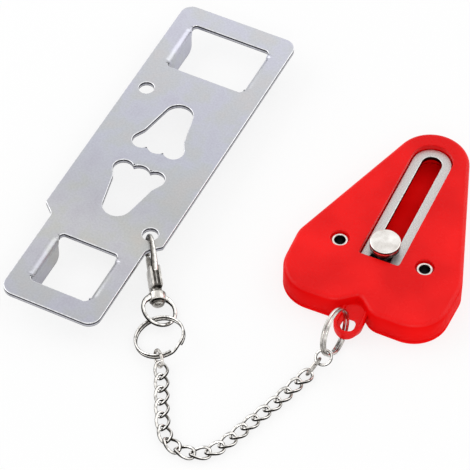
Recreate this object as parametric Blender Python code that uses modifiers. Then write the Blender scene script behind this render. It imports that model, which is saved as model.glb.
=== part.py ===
"""Portable door lock: a stamped strike plate, a snap hook, a curb chain and a slide lock.

Metres, +Z up.  The plate lies along Y with its back face on Z = 0 and its bent claws below it.
"""

from math import atan2, ceil, cos, pi, radians, sin

import bmesh
import bpy
from mathutils import Matrix, Vector

# Driving lengths
PLATE_THICKNESS = 0.0020
PLATE_LENGTH = 0.1452
PLATE_HALF_WIDTH = 0.0225
PLATE_NARROW_HALF_WIDTH = 0.0181
PLATE_CORNER = 0.0045
PLATE_RIM = 0.00025
STEP_INSET = 0.0406
STEP_CORNER = 0.0008
STEP_FILLET = 0.0030
STEP_FILLET_DROP = 0.00564

WINDOW_INSET = 0.0193
WINDOW_LENGTH = 0.02245
WINDOW_CORNER = 0.0016
CLAW_LENGTH = 0.0161
CLAW_DEPTH = 0.0100
CLAW_BEND = 0.0008
CLAW_TIP_CORNER = 0.0026
CLAW_TAIL = 0.0010
FAR_CLAW_INNER = 0.0146
NEAR_CLAW_INNER = 0.0105
WEB_STEP = 0.0004
SLIT_WIDTH = 0.0008
SLIT_CORNER = 0.0003

HOLE_X = 0.0162
HOLE_INSET = 0.0432
HOLE_RADIUS = 0.00275

APEX_Y = 0.0226
APEX_RADIUS = 0.0052
WAIST_X = 0.0098
WAIST_Y = 0.0128
WAIST_RADIUS = 0.0024
SIDE_LOBE_X = 0.0061
SIDE_LOBE_Y = 0.0071
SIDE_LOBE_RADIUS = 0.0036
CUSP_X = 0.0032
CUSP_Y = 0.00485
BUMP_Y = 0.0074
BUMP_RADIUS = 0.0040

HOOK_OFFSET = (-0.00076, -0.00048)
HOOK_RISE = -0.0002
NOSE_X = 0.0044
NOSE_Z = 0.00035
NOSE_RADIUS = 0.0044
NOSE_WIRE = 0.0008
LIMB_X = 0.0076
LIMB_WIRE = 0.00085
LIMB_END_X = 0.0140
LIMB_END_Z = 0.0022
LIMB_END_WIRE = 0.0013
BODY_START = 0.0120
BODY_END = 0.0202
BODY_TOP = 0.0037
BODY_BOTTOM = -0.0026
BODY_HALF_WIDTH = 0.0018
BODY_CORNER = 0.0011
SLOT_HALF_WIDTH = 0.00100
SLOT_TOP = 0.0001
SLOT_END = 0.0186
GATE_PIVOT_X = 0.0155
GATE_PIVOT_Z = -0.0019
GATE_HALF_WIDTH = 0.00070
GATE_HALF_DEPTH = 0.00075
GATE_Z = -0.0041
GATE_TIP_GAP = 0.0006
KNUCKLE_RADIUS = 0.0016
PIN_RADIUS = 0.0006
PIN_LENGTH = 0.0035
TRIGGER_X = 0.0129
TRIGGER_LENGTH = 0.0013
TRIGGER_Z = -0.0045
TRIGGER_RADIUS = 0.0006
GATE_FILLET = 0.0010
GATE_FILLET_TOP_X = 0.0122
GATE_FILLET_LOW_X = 0.0110
SPRING_X = 0.0127
SPRING_WIRE = 0.00014
SPRING_RADIUS = 0.00050
SPRING_PITCH = 0.00060
SPRING_TOP = -0.0002
COLLAR_RADIUS = 0.0020
COLLAR_END = 0.0212
POST_RADIUS = 0.0015
HEAD_RADIUS = 0.00225
HEAD_START = 0.0251
HEAD_LENGTH = 0.0015

EYE_X = 0.02777
EYE_RADIUS = 0.00575
EYE_WIRE = 0.00065
EYE_SHOULDER_WIRE = 0.0013
BOSS_START = 0.0215
BOSS_END = 0.0248
BOSS_RADIUS = 0.0031

KEY_RING_OFFSET = (0.0203, -0.03259)
KEY_RING_REST = 0.00288
KEY_RING_RADIUS = 0.0082
RING_WIRE = 0.00045
KEY_LAYER = 0.00125
TAB_RING_RADIUS = 0.0080
TAB_LAYER = 0.00120
JUMP_RADIUS = 0.00265

CONNECTOR_WIRE = 0.00055
CONNECTOR_HALF_HEIGHT = 0.0024
START_HALF_LENGTH = 0.0029
END_HALF_LENGTH = 0.0034
CONNECTOR_CUT = 0.0004
START_REACH = 0.008865
START_SIDE = -0.000682
START_REST = 0.002986

LINK_WIRE = 0.00055
LINK_PITCH = 0.0051
LINK_HALF_LENGTH = 0.00345
LINK_HALF_HEIGHT = 0.00195
LINK_REST = 0.0015
FIRST_LINK_REACH = 0.01266

END_CONNECTOR_OFFSET = (0.001240, 0.004427)
END_CONNECTOR_REST = 0.00291
JUMP_OFFSET = (0.001936, 0.003534)
JUMP_REST = 0.004744
TAB_RING_OFFSET = (-0.000016, 0.008429)
TAB_RING_REST = 0.008459
LOCK_OFFSET = (0.000306, 0.036661)

LOCK_THICKNESS = 0.0100
PARTING_Z = 0.0016
PARTING_GAP = 0.0003
TIP_Y = 0.0446
TIP_RADIUS = 0.0132
SHOULDER_X = 0.0209
SHOULDER_Y = -0.0030
SHOULDER_RADIUS = 0.0090
LOBE_X = 0.0168
LOBE_Y = -0.0130
LOBE_RADIUS = 0.0126
INNER_LOBE_X = 0.0092
INNER_LOBE_Y = -0.0189
INNER_LOBE_RADIUS = 0.0066
NOTCH_Y = -0.0218
NOTCH_RADIUS = 0.0016
TOP_FILLET = 0.0016
BACK_CHAMFER = 0.0006
RECESS_HALF_WIDTH = 0.0073
RECESS_START = -0.0032
RECESS_CORNER = 0.0009
LEDGE_Z = 0.0060
CHANNEL_HALF_WIDTH = 0.0058
CHANNEL_START = -0.0034
CHANNEL_FLOOR = 0.0026
RAIL_HALF_WIDTH = 0.0070
RAIL_SLOT_HALF_WIDTH = 0.0036
RAIL_START = -0.0027
RAIL_CORNER = 0.0006
RAIL_TOP = 0.0080
RAIL_RIM = 0.0002

RIVET_X = 0.0154
RIVET_TUBE_RADIUS = 0.00235
RIVET_BORE_RADIUS = 0.00200
RIVET_RIM_RADIUS = 0.0028
RIVET_RIM_HEIGHT = 0.0006
RIVET_SETBACK = 0.0010
COUNTERBORE_RADIUS = 0.0033

TAB_HALF_WIDTH = 0.0049
TAB_END_Y = -0.0337
TAB_ROOT_Y = -0.0150
TAB_ROOT_HALF_WIDTH = 0.0042
TAB_LOW = 0.0021
TAB_UNDERSIDE = 0.0034
TAB_WEB_TOP = 0.0047
TAB_WALL_TOP = 0.0056
TAB_ROOT_TOP = 0.0074
TAB_RISE_START_Y = -0.0272
TAB_RISE_END_Y = -0.0218
TAB_WALL_WIDTH = 0.0013
TAB_HOLE_Y = -0.0284
TAB_HOLE_RADIUS = 0.0024
TAB_HOLE_HALF_RUN = 0.0009

KNOB_Y = 0.0024
KNOB_RADIUS = 0.00525
KNOB_BOTTOM = 0.0102
KNOB_TOP = 0.0132
KNOB_EDGE = 0.0005
NECK_RADIUS = 0.0028
NECK_BOTTOM = 0.0060
SPIGOT_RADIUS = 0.0018
SPIGOT_BOTTOM = 0.0043
SHOE_RADIUS = 0.0054
SHOE_BOTTOM = 0.0042
SHOE_TOP = 0.0057
SHOE_EDGE = 0.0003
WASHER_BOTTOM = 0.0029
WASHER_TOP = 0.0039
WASHER_THICKNESS = 0.0004
WASHER_INNER = 0.0022
WASHER_OUTER = 0.0050

# Clearances and tolerances
SEAT_GAP = 0.0003
PIN_GAP = 0.00025
RIVET_GAP = 0.0002
CUT_MARGIN = 0.0010
WELD = 0.00001
FILLET_STEPS = 4
ARC_STEP = radians(18.0)
WIDE_STEP = radians(22.5)
COARSE_STEP = radians(30.0)
ROUND_STEPS = 20
SMALL_ROUND_STEPS = 16
LINK_POINTS = 14

# Angles
HOOK_HEADING = radians(-54.67)
HOOK_SLOPE = radians(9.47)
HOOK_ROLL = radians(-10.0)
EYE_TURN = radians(-12.0)
EYE_SWELL_ANGLE = radians(65.0)
KEY_RING_TURNS = (radians(-58.0), radians(-4.0), radians(12.0))
KEY_RING_SPLIT = radians(40.0)
START_HEADING = radians(-60.0)
START_TURNS = (radians(17.2), radians(6.3), radians(-14.7))
END_TURNS = (radians(79.8), radians(-11.8), radians(27.5))
JUMP_TURNS = (radians(-99.3), radians(21.1))
TAB_RING_TURNS = (radians(-92.7), radians(98.25))
TAB_RING_SPLIT = radians(-61.0)
TAB_RING_CONTACT = radians(-23.7)
SPLIT_HALF_ANGLE = radians(16.0)
RING_STEP = radians(15.0)
LINK_TWIST = radians(50.0)
LOCK_TURN = radians(2.0)
CHAIN_HEADINGS = (-60.0, -62.3, -62.2, -61.3, -58.9, -48.5, -21.0, 6.3, 33.5,
                  57.3, 69.9, 71.5, 71.7, 70.6, 71.5, 74.1, 74.9, 72.0)

# Derived
FLOOR = PLATE_THICKNESS - CLAW_DEPTH
HALF_LENGTH = PLATE_LENGTH / 2
STEP_Y = STEP_INSET - HALF_LENGTH
WINDOW_Y = HALF_LENGTH - WINDOW_INSET
HOLE_Y = HALF_LENGTH - HOLE_INSET
HALF_PITCH = LINK_PITCH / 2
FRONT_LOW = PARTING_Z + PARTING_GAP / 2
BACK_HIGH = PARTING_Z - PARTING_GAP / 2
RIVET_HOLE_RADIUS = RIVET_TUBE_RADIUS + RIVET_GAP
BEND_OUTER = CLAW_BEND + PLATE_THICKNESS
TAB_HOLE_END_Y = TAB_HOLE_Y - TAB_HOLE_HALF_RUN
COUNTERBORE_DEPTH = RIVET_RIM_HEIGHT + SEAT_GAP


# Helpers
def clear_scene():
    for item in list(bpy.data.objects):
        bpy.data.objects.remove(item, do_unlink=True)
    for group in list(bpy.data.collections):
        bpy.data.collections.remove(group)
    for mesh in list(bpy.data.meshes):
        bpy.data.meshes.remove(mesh)


def new_collection(name):
    group = bpy.data.collections.new(name)
    bpy.context.scene.collection.children.link(group)
    return group


def material(name, colour, roughness, metallic):
    made = bpy.data.materials.new(name)
    made.use_nodes = True
    shader = made.node_tree.nodes["Principled BSDF"]
    shader.inputs["Base Color"].default_value = (*colour, 1.0)
    shader.inputs["Roughness"].default_value = roughness
    shader.inputs["Metallic"].default_value = metallic
    made.diffuse_color = (*colour, 1.0)
    return made


def tidy(mesh):
    work = bmesh.new()
    work.from_mesh(mesh)
    bmesh.ops.remove_doubles(work, verts=work.verts, dist=WELD)
    bmesh.ops.dissolve_degenerate(work, edges=work.edges, dist=WELD)
    bmesh.ops.recalc_face_normals(work, faces=work.faces)
    work.to_mesh(mesh)
    work.free()
    return mesh


def baked(item):
    graph = bpy.context.evaluated_depsgraph_get()
    mesh = tidy(bpy.data.meshes.new_from_object(item.evaluated_get(graph)))
    mesh.transform(item.matrix_world)
    return mesh


def scratch_object(name, data):
    item = bpy.data.objects.new(name, data)
    bpy.context.scene.collection.objects.link(item)
    return item


def mesh_of_curve(curve):
    item = scratch_object("curve", curve)
    mesh = baked(item)
    bpy.data.objects.remove(item, do_unlink=True)
    return mesh


def belt(circles, step=ARC_STEP):
    """Outline that runs counter-clockwise round the circles, joined by their common tangents.

    Each circle is x, y, radius and side: 1 for an outward round, -1 for an inward one.
    """
    count = len(circles)
    angles = []
    for i in range(count):
        x0, y0, r0, s0 = circles[i]
        x1, y1, r1, s1 = circles[(i + 1) % count]
        dx, dy = x1 - x0, y1 - y0
        offset = s1 * r1 - s0 * r0
        run = (dx * dx + dy * dy - offset * offset) ** 0.5
        angles.append(atan2(dy, dx) - atan2(offset, run))
    points = []
    for i in range(count):
        x, y, radius, side = circles[i]
        start = angles[i - 1] - side * pi / 2
        turn = (angles[i] - angles[i - 1]) % (2 * pi)
        if side < 0:
            turn -= 2 * pi
        if radius == 0:
            points.append((x, y))
            continue
        steps = max(1, ceil(abs(turn) / step))
        for k in range(steps + 1):
            angle = start + turn * k / steps
            points.append((x + radius * cos(angle), y + radius * sin(angle)))
    return points


def ring_outline(x, y, radius, steps):
    angles = [2 * pi * k / steps for k in range(steps)]
    return [(x + radius * cos(a), y + radius * sin(a)) for a in angles]


def slab(loops, low, high, rim=0.0):
    """Flat plate of the first outline with the others as its openings, its edges eased by rim."""
    curve = bpy.data.curves.new("outline", "CURVE")
    curve.dimensions = "2D"
    curve.fill_mode = "BOTH"
    curve.extrude = (high - low) / 2 - rim
    curve.bevel_depth = rim
    curve.bevel_resolution = 0
    curve.offset = -rim
    for loop in loops:
        spline = curve.splines.new("POLY")
        spline.points.add(len(loop) - 1)
        for point, (x, y) in zip(spline.points, loop):
            point.co = (x, y, 0.0, 1.0)
        spline.use_cyclic_u = True
    mesh = mesh_of_curve(curve)
    mesh.transform(Matrix.Translation((0.0, 0.0, (low + high) / 2)))
    return mesh


def tube(points, radius, closed):
    """Round wire through the points, of one radius or of a radius for each point."""
    radii = radius if isinstance(radius, list) else [radius] * len(points)
    curve = bpy.data.curves.new("wire", "CURVE")
    curve.dimensions = "3D"
    curve.bevel_depth = radii[0]
    curve.bevel_resolution = 2
    curve.use_fill_caps = not closed
    spline = curve.splines.new("POLY")
    spline.points.add(len(points) - 1)
    for point, co, width in zip(spline.points, points, radii):
        point.co = (*co, 1.0)
        point.radius = width / radii[0]
    spline.use_cyclic_u = closed
    return mesh_of_curve(curve)


def turned(profile, steps):
    """Solid of revolution about Z from radius and height pairs, listed down the outer side."""
    mesh = bpy.data.meshes.new("profile")
    edges = [(i, i + 1) for i in range(len(profile) - 1)]
    mesh.from_pydata([(r, 0.0, z) for r, z in profile], edges, [])
    item = scratch_object("profile", mesh)
    screw = item.modifiers.new("turn", "SCREW")
    screw.axis = "Z"
    screw.steps = steps
    screw.render_steps = steps
    screw.use_merge_vertices = True
    screw.merge_threshold = WELD
    made = baked(item)
    bpy.data.objects.remove(item, do_unlink=True)
    return made


def cylinder(radius, low, high, steps):
    return turned([(0.0, high), (radius, high), (radius, low), (0.0, low)], steps)


def combined(base, others, operation):
    """The base mesh joined with, or cut by, the other meshes in turn."""
    item = scratch_object("base", base)
    for other in others:
        tool = scratch_object("tool", other)
        step = item.modifiers.new("step", "BOOLEAN")
        step.operation = operation
        step.solver = "EXACT"
        step.object = tool
        made = baked(item)
        bpy.data.objects.remove(tool, do_unlink=True)
        item.modifiers.clear()
        item.data = made
    made = item.data
    bpy.data.objects.remove(item, do_unlink=True)
    return made


def moved(mesh, matrix):
    copy = mesh.copy()
    copy.transform(matrix)
    return copy


def turn(axis, angle):
    return Matrix.Rotation(angle, 4, axis)


def shift(x, y, z):
    return Matrix.Translation((x, y, z))


def placed(name, mesh, paint, place, pivot, group, sharp=radians(35.0)):
    """Part whose mesh is drawn in the frame of place and whose origin sits at pivot in that frame."""
    mesh.transform(Matrix.Translation(-Vector(pivot)))
    return shared(name, mesh, paint, place @ Matrix.Translation(pivot), group, sharp)


def shared(name, mesh, paint, place, group, sharp=radians(35.0)):
    """Part whose origin is the mesh's own, so that several parts can use one mesh."""
    if mesh.users == 0:
        mesh.name = name
    item = bpy.data.objects.new(name, mesh)
    if not mesh.materials:
        mesh.materials.append(paint)
    mesh.shade_smooth()
    mesh.set_sharp_from_angle(angle=sharp)
    item.matrix_world = place
    group.objects.link(item)
    return item


# Strike plate
def mirrored_outline(right):
    left = [(-x, y, r, s) for x, y, r, s in reversed(right)]
    return right + left


def plate_outline():
    corner_y = HALF_LENGTH - PLATE_CORNER
    right = [
        (PLATE_NARROW_HALF_WIDTH - PLATE_CORNER, -corner_y, PLATE_CORNER, 1),
        (PLATE_NARROW_HALF_WIDTH + STEP_FILLET, STEP_Y - STEP_FILLET_DROP, STEP_FILLET, -1),
        (PLATE_HALF_WIDTH - STEP_CORNER, STEP_Y, STEP_CORNER, 1),
        (PLATE_HALF_WIDTH - PLATE_CORNER, corner_y, PLATE_CORNER, 1),
    ]
    return belt(mirrored_outline(right))


def window_outline(centre_y, claw_inner):
    """Stamped window: webs at the corners, slits beside the claws, bend lines between the slits."""
    web_x = claw_inner + WEB_STEP
    bend_x = claw_inner + BEND_OUTER
    half = WINDOW_LENGTH / 2
    slit = CLAW_LENGTH / 2 + SLIT_WIDTH
    right = [
        (web_x - WINDOW_CORNER, -half + WINDOW_CORNER, WINDOW_CORNER, 1),
        (web_x, -slit, 0.0, -1),
        (bend_x - SLIT_CORNER, -slit + SLIT_CORNER, SLIT_CORNER, 1),
        (bend_x - SLIT_CORNER, slit - SLIT_CORNER, SLIT_CORNER, 1),
        (web_x, slit, 0.0, -1),
        (web_x - WINDOW_CORNER, half - WINDOW_CORNER, WINDOW_CORNER, 1),
    ]
    return [(x, y + centre_y) for x, y in belt(mirrored_outline(right), COARSE_STEP)]


def keyhole_outline(side):
    right = [
        (0.0, BUMP_Y, BUMP_RADIUS, 1),
        (CUSP_X, CUSP_Y, 0.0, -1),
        (SIDE_LOBE_X, SIDE_LOBE_Y, SIDE_LOBE_RADIUS, 1),
        (WAIST_X, WAIST_Y, WAIST_RADIUS, -1),
        (0.0, APEX_Y, APEX_RADIUS, 1),
    ]
    left = [(-x, y, r, s) for x, y, r, s in reversed(right[1:-1])]
    return [(side * x, side * y) for x, y in belt(right + left)]


def claw_mesh():
    """One claw in its own frame: bend line on Y, leg pointing down on the -X side."""
    centre_z = -CLAW_BEND
    leg_inner = -BEND_OUTER
    leg_outer = -CLAW_BEND
    tip = FLOOR
    outline = [(CLAW_TAIL, 0.0), (CLAW_TAIL, PLATE_THICKNESS)]
    steps = 6
    for k in range(steps + 1):
        angle = pi / 2 + pi / 2 * k / steps
        outline.append((BEND_OUTER * cos(angle), centre_z + BEND_OUTER * sin(angle)))
    outline += [(leg_inner, tip), (leg_outer, tip)]
    for k in range(steps + 1):
        angle = pi - pi / 2 * k / steps
        outline.append((CLAW_BEND * cos(angle), centre_z + CLAW_BEND * sin(angle)))
    strip = slab([outline], -CLAW_LENGTH / 2, CLAW_LENGTH / 2)
    strip.transform(turn("X", pi / 2))
    half = CLAW_LENGTH / 2
    top = PLATE_THICKNESS + CUT_MARGIN
    face = belt([
        (-half + CLAW_TIP_CORNER, tip + CLAW_TIP_CORNER, CLAW_TIP_CORNER, 1),
        (half - CLAW_TIP_CORNER, tip + CLAW_TIP_CORNER, CLAW_TIP_CORNER, 1),
        (half, top, 0.0, 1),
        (-half, top, 0.0, 1),
    ])
    mask = slab([face], -BEND_OUTER - CUT_MARGIN, CLAW_TAIL + CUT_MARGIN)
    mask.transform(turn("Z", pi / 2) @ turn("X", pi / 2))
    return combined(strip, [mask], "INTERSECT")


def build_plate(paint, group):
    loops = [
        plate_outline(),
        window_outline(WINDOW_Y, FAR_CLAW_INNER),
        window_outline(-WINDOW_Y, NEAR_CLAW_INNER),
        keyhole_outline(1),
        keyhole_outline(-1),
        ring_outline(-HOLE_X, HOLE_Y, HOLE_RADIUS, ROUND_STEPS),
        ring_outline(HOLE_X, -HOLE_Y, HOLE_RADIUS, ROUND_STEPS),
    ]
    flat = slab(loops, 0.0, PLATE_THICKNESS, PLATE_RIM)
    claw = claw_mesh()
    claws = []
    for centre_y, inner in ((WINDOW_Y, FAR_CLAW_INNER), (-WINDOW_Y, NEAR_CLAW_INNER)):
        bend_x = inner + BEND_OUTER
        claws.append(moved(claw, shift(bend_x, centre_y, 0.0)))
        claws.append(moved(claw, shift(-bend_x, centre_y, 0.0) @ turn("Z", pi)))
    solid = combined(flat, claws, "UNION")
    return placed("strike_plate", solid, paint, Matrix(), (0.0, 0.0, 0.0), group)


# Snap hook and swivel
def upright(mesh):
    """Turn a flat mesh so that its Y becomes Z."""
    mesh.transform(turn("X", pi / 2))
    return mesh


def along_x(mesh):
    """Turn a mesh made about Z so that it runs about X."""
    mesh.transform(turn("Y", pi / 2))
    return mesh


def build_hook(paint, pin_paint, spring_paint, group):
    place = shift(HOLE_X + HOOK_OFFSET[0], HOOK_OFFSET[1] - HOLE_Y, HOOK_RISE)
    place = place @ turn("Z", HOOK_HEADING) @ turn("Y", HOOK_SLOPE) @ turn("X", HOOK_ROLL)
    path = []
    steps = 12
    for k in range(steps + 1):
        angle = -pi / 2 - pi * k / steps
        path.append((NOSE_X + NOSE_RADIUS * cos(angle), 0.0, NOSE_Z + NOSE_RADIUS * sin(angle)))
    path += [(LIMB_X, 0.0, NOSE_Z + NOSE_RADIUS), (LIMB_END_X, 0.0, LIMB_END_Z)]
    widths = [NOSE_WIRE] * (steps + 1) + [LIMB_WIRE, LIMB_END_WIRE]
    nose = tube(path, widths, False)
    body_outline = belt([
        (BODY_START + BODY_CORNER, BODY_BOTTOM + BODY_CORNER, BODY_CORNER, 1),
        (BODY_END - BODY_CORNER, BODY_BOTTOM + BODY_CORNER, BODY_CORNER, 1),
        (BODY_END - BODY_CORNER, BODY_TOP - BODY_CORNER, BODY_CORNER, 1),
        (BODY_START + BODY_CORNER, BODY_TOP - BODY_CORNER, BODY_CORNER, 1),
    ], COARSE_STEP)
    body = upright(slab([body_outline], -BODY_HALF_WIDTH, BODY_HALF_WIDTH, PLATE_RIM))
    head_top = HEAD_START + HEAD_LENGTH
    head_steps = 4
    profile = [(0.0, head_top)]
    for k in range(1, head_steps + 1):
        angle = pi / 2 * k / head_steps
        profile.append((HEAD_RADIUS * sin(angle), HEAD_START + HEAD_LENGTH * cos(angle)))
    profile += [(POST_RADIUS, HEAD_START), (POST_RADIUS, COLLAR_END), (COLLAR_RADIUS, COLLAR_END)]
    profile += [(COLLAR_RADIUS, BODY_END - CUT_MARGIN), (0.0, BODY_END - CUT_MARGIN)]
    swivel = along_x(turned(profile, SMALL_ROUND_STEPS))
    solid = combined(body, [nose, swivel], "UNION")
    slot_outline = [(BODY_START - CUT_MARGIN, BODY_BOTTOM - CUT_MARGIN),
                    (SLOT_END, BODY_BOTTOM - CUT_MARGIN),
                    (SLOT_END, SLOT_TOP), (BODY_START - CUT_MARGIN, SLOT_TOP)]
    slot = upright(slab([slot_outline], -SLOT_HALF_WIDTH, SLOT_HALF_WIDTH))
    reach = BODY_HALF_WIDTH + CUT_MARGIN
    pin_hole = upright(cylinder(PIN_RADIUS + PIN_GAP, -reach, reach, SMALL_ROUND_STEPS))
    pin_hole.transform(shift(GATE_PIVOT_X, 0.0, GATE_PIVOT_Z))
    solid = combined(solid, [slot, pin_hole], "DIFFERENCE")
    placed("snap_hook", solid, paint, place, (NOSE_X - NOSE_RADIUS, 0.0, NOSE_Z), group)

    tip_x = NOSE_X + GATE_TIP_GAP + GATE_HALF_DEPTH
    outline = belt([
        (tip_x, GATE_Z, GATE_HALF_DEPTH, 1),
        (GATE_FILLET_LOW_X, GATE_Z - GATE_HALF_DEPTH - GATE_FILLET, GATE_FILLET, -1),
        (TRIGGER_X, TRIGGER_Z, TRIGGER_RADIUS, 1),
        (TRIGGER_X + TRIGGER_LENGTH, TRIGGER_Z, TRIGGER_RADIUS, 1),
        (GATE_PIVOT_X, GATE_PIVOT_Z, KNUCKLE_RADIUS, 1),
        (GATE_FILLET_TOP_X, GATE_Z + GATE_HALF_DEPTH + GATE_FILLET, GATE_FILLET, -1),
    ], COARSE_STEP)
    bore = ring_outline(GATE_PIVOT_X, GATE_PIVOT_Z, PIN_RADIUS + SEAT_GAP, SMALL_ROUND_STEPS)
    gate = upright(slab([outline, bore], -GATE_HALF_WIDTH, GATE_HALF_WIDTH))
    pivot = (GATE_PIVOT_X, 0.0, GATE_PIVOT_Z)
    placed("gate_lever", gate, paint, place, pivot, group)

    pin = upright(cylinder(PIN_RADIUS, -PIN_LENGTH / 2, PIN_LENGTH / 2, SMALL_ROUND_STEPS))
    pin.transform(shift(*pivot))
    placed("gate_pin", pin, pin_paint, place, pivot, group)

    coil = []
    turns = 2
    per_turn = 8
    for k in range(turns * per_turn + 1):
        angle = 2 * pi * k / per_turn
        drop = SPRING_PITCH * k / per_turn
        z = SPRING_TOP - SPRING_WIRE - drop
        coil.append((SPRING_X + SPRING_RADIUS * cos(angle), SPRING_RADIUS * sin(angle), z))
    spring = tube(coil, SPRING_WIRE, False)
    placed("gate_spring", spring, spring_paint, place, (SPRING_X, 0.0, SPRING_TOP), group)
    return place


def build_swivel_eye(paint, hook_place, group):
    """Cast ring that swells into shoulders where it meets its sleeve."""
    place = hook_place @ turn("X", EYE_TURN)
    steps = 24
    path = []
    widths = []
    for k in range(steps):
        angle = 2 * pi * k / steps
        share = max(0.0, 1.0 - abs(angle - pi) / EYE_SWELL_ANGLE)
        swell = (EYE_SHOULDER_WIRE - EYE_WIRE) * share
        path.append((EYE_X + EYE_RADIUS * cos(angle) + swell, EYE_RADIUS * sin(angle), 0.0))
        widths.append(EYE_WIRE + swell)
    ring = tube(path, widths, True)
    boss = along_x(cylinder(BOSS_RADIUS, BOSS_START, BOSS_END, SMALL_ROUND_STEPS))
    solid = combined(boss, [ring], "UNION")
    bore = cylinder(POST_RADIUS + SEAT_GAP, BOSS_START - CUT_MARGIN, BOSS_END + CUT_MARGIN,
                    SMALL_ROUND_STEPS)
    solid = combined(solid, [along_x(bore)], "DIFFERENCE")
    pivot = ((BOSS_START + BOSS_END) / 2, 0.0, 0.0)
    placed("swivel_eye", solid, paint, place, pivot, group)


# Rings, connectors and chain
def split_ring_mesh(radius, layer, split):
    """Two layers of one wire, joined by a short slope between its two cut ends."""
    first = split + SPLIT_HALF_ANGLE
    last = split - SPLIT_HALF_ANGLE + 4 * pi
    slope_start = split - SPLIT_HALF_ANGLE + 2 * pi
    count = ceil((last - first) / RING_STEP)
    points = []
    for k in range(count + 1):
        angle = first + (last - first) * k / count
        share = min(1.0, max(0.0, (angle - slope_start) / (2 * SPLIT_HALF_ANGLE)))
        z = -layer / 2 * cos(pi * share)
        points.append((radius * cos(angle), radius * sin(angle), z))
    return tube(points, RING_WIRE, False)


def connector_mesh(half_length):
    """Oval link in the XZ plane, cut open in the middle of its upper side."""
    straight = half_length - CONNECTOR_HALF_HEIGHT
    steps = 8
    points = [(-CONNECTOR_CUT / 2, 0.0, CONNECTOR_HALF_HEIGHT)]
    for side in (-1, 1):
        for k in range(steps + 1):
            angle = pi * k / steps - side * pi / 2
            x = side * straight + CONNECTOR_HALF_HEIGHT * cos(angle)
            points.append((x, 0.0, CONNECTOR_HALF_HEIGHT * sin(angle)))
    points.append((CONNECTOR_CUT / 2, 0.0, CONNECTOR_HALF_HEIGHT))
    return tube(points, CONNECTOR_WIRE, False)


def link_mesh():
    """Twisted oval link that starts at its pivot and runs half a pitch to its centre."""
    points = []
    for k in range(LINK_POINTS):
        angle = 2 * pi * k / LINK_POINTS
        twist = LINK_TWIST * cos(angle)
        height = LINK_HALF_HEIGHT * sin(angle)
        x = HALF_PITCH + LINK_HALF_LENGTH * cos(angle)
        points.append((x, height * cos(twist), height * sin(twist)))
    return tube(points, LINK_WIRE, True)


def build_chain(paints, group):
    key_z = FLOOR + KEY_RING_REST
    key_x = HOLE_X + KEY_RING_OFFSET[0]
    key_y = KEY_RING_OFFSET[1] - HOLE_Y
    place = shift(key_x, key_y, key_z) @ turn("Z", KEY_RING_TURNS[0])
    place = place @ turn("Y", KEY_RING_TURNS[1]) @ turn("X", KEY_RING_TURNS[2])
    mesh = split_ring_mesh(KEY_RING_RADIUS, KEY_LAYER, KEY_RING_SPLIT)
    placed("key_ring", mesh, paints["ring"], place, (-KEY_RING_RADIUS, 0.0, 0.0), group)

    start = shift(key_x, key_y, 0.0) @ turn("Z", START_HEADING)
    place = start @ shift(START_REACH, START_SIDE, FLOOR + START_REST) @ turn("Z", START_TURNS[0])
    place = place @ turn("Y", START_TURNS[1]) @ turn("X", START_TURNS[2])
    mesh = connector_mesh(START_HALF_LENGTH)
    pivot = (-START_HALF_LENGTH + CONNECTOR_WIRE, 0.0, 0.0)
    placed("chain_connector_start", mesh, paints["connector"], place, pivot, group)

    link = link_mesh()
    pivot = start @ Vector((FIRST_LINK_REACH - HALF_PITCH, 0.0, FLOOR + LINK_REST))
    for number, degrees in enumerate(CHAIN_HEADINGS, 1):
        heading = radians(degrees)
        place = Matrix.Translation(pivot) @ turn("Z", heading)
        shared(f"chain_link_{number:02d}", link, paints["link"], place, group)
        centre = place @ Vector((HALF_PITCH, 0.0, 0.0))
        pivot = place @ Vector((LINK_PITCH, 0.0, 0.0))

    x = centre.x + END_CONNECTOR_OFFSET[0]
    y = centre.y + END_CONNECTOR_OFFSET[1]
    place = shift(x, y, FLOOR + END_CONNECTOR_REST) @ turn("Z", END_TURNS[0])
    place = place @ turn("Y", END_TURNS[1]) @ turn("X", END_TURNS[2])
    mesh = connector_mesh(END_HALF_LENGTH)
    pivot = (-END_HALF_LENGTH + CONNECTOR_WIRE, 0.0, 0.0)
    placed("chain_connector_end", mesh, paints["connector"], place, pivot, group)

    x += JUMP_OFFSET[0]
    y += JUMP_OFFSET[1]
    place = shift(x, y, FLOOR + JUMP_REST) @ turn("Z", JUMP_TURNS[0]) @ turn("Y", JUMP_TURNS[1])
    count = 18
    angles = [2 * pi * k / count for k in range(count)]
    path = [(JUMP_RADIUS * cos(a), JUMP_RADIUS * sin(a), 0.0) for a in angles]
    mesh = tube(path, RING_WIRE, True)
    pivot = (JUMP_RADIUS, 0.0, 0.0)
    placed("jump_ring", mesh, paints["ring"], place, pivot, group)

    x += TAB_RING_OFFSET[0]
    y += TAB_RING_OFFSET[1]
    place = shift(x, y, FLOOR + TAB_RING_REST)
    place = place @ turn("Z", TAB_RING_TURNS[0]) @ turn("X", TAB_RING_TURNS[1])
    mesh = split_ring_mesh(TAB_RING_RADIUS, TAB_LAYER, TAB_RING_SPLIT)
    pivot = (TAB_RING_RADIUS * cos(TAB_RING_CONTACT), TAB_RING_RADIUS * sin(TAB_RING_CONTACT), 0.0)
    placed("tab_ring", mesh, paints["ring"], place, pivot, group)
    x += LOCK_OFFSET[0]
    y += LOCK_OFFSET[1]
    return shift(x, y, FLOOR) @ turn("Z", LOCK_TURN)


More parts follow.
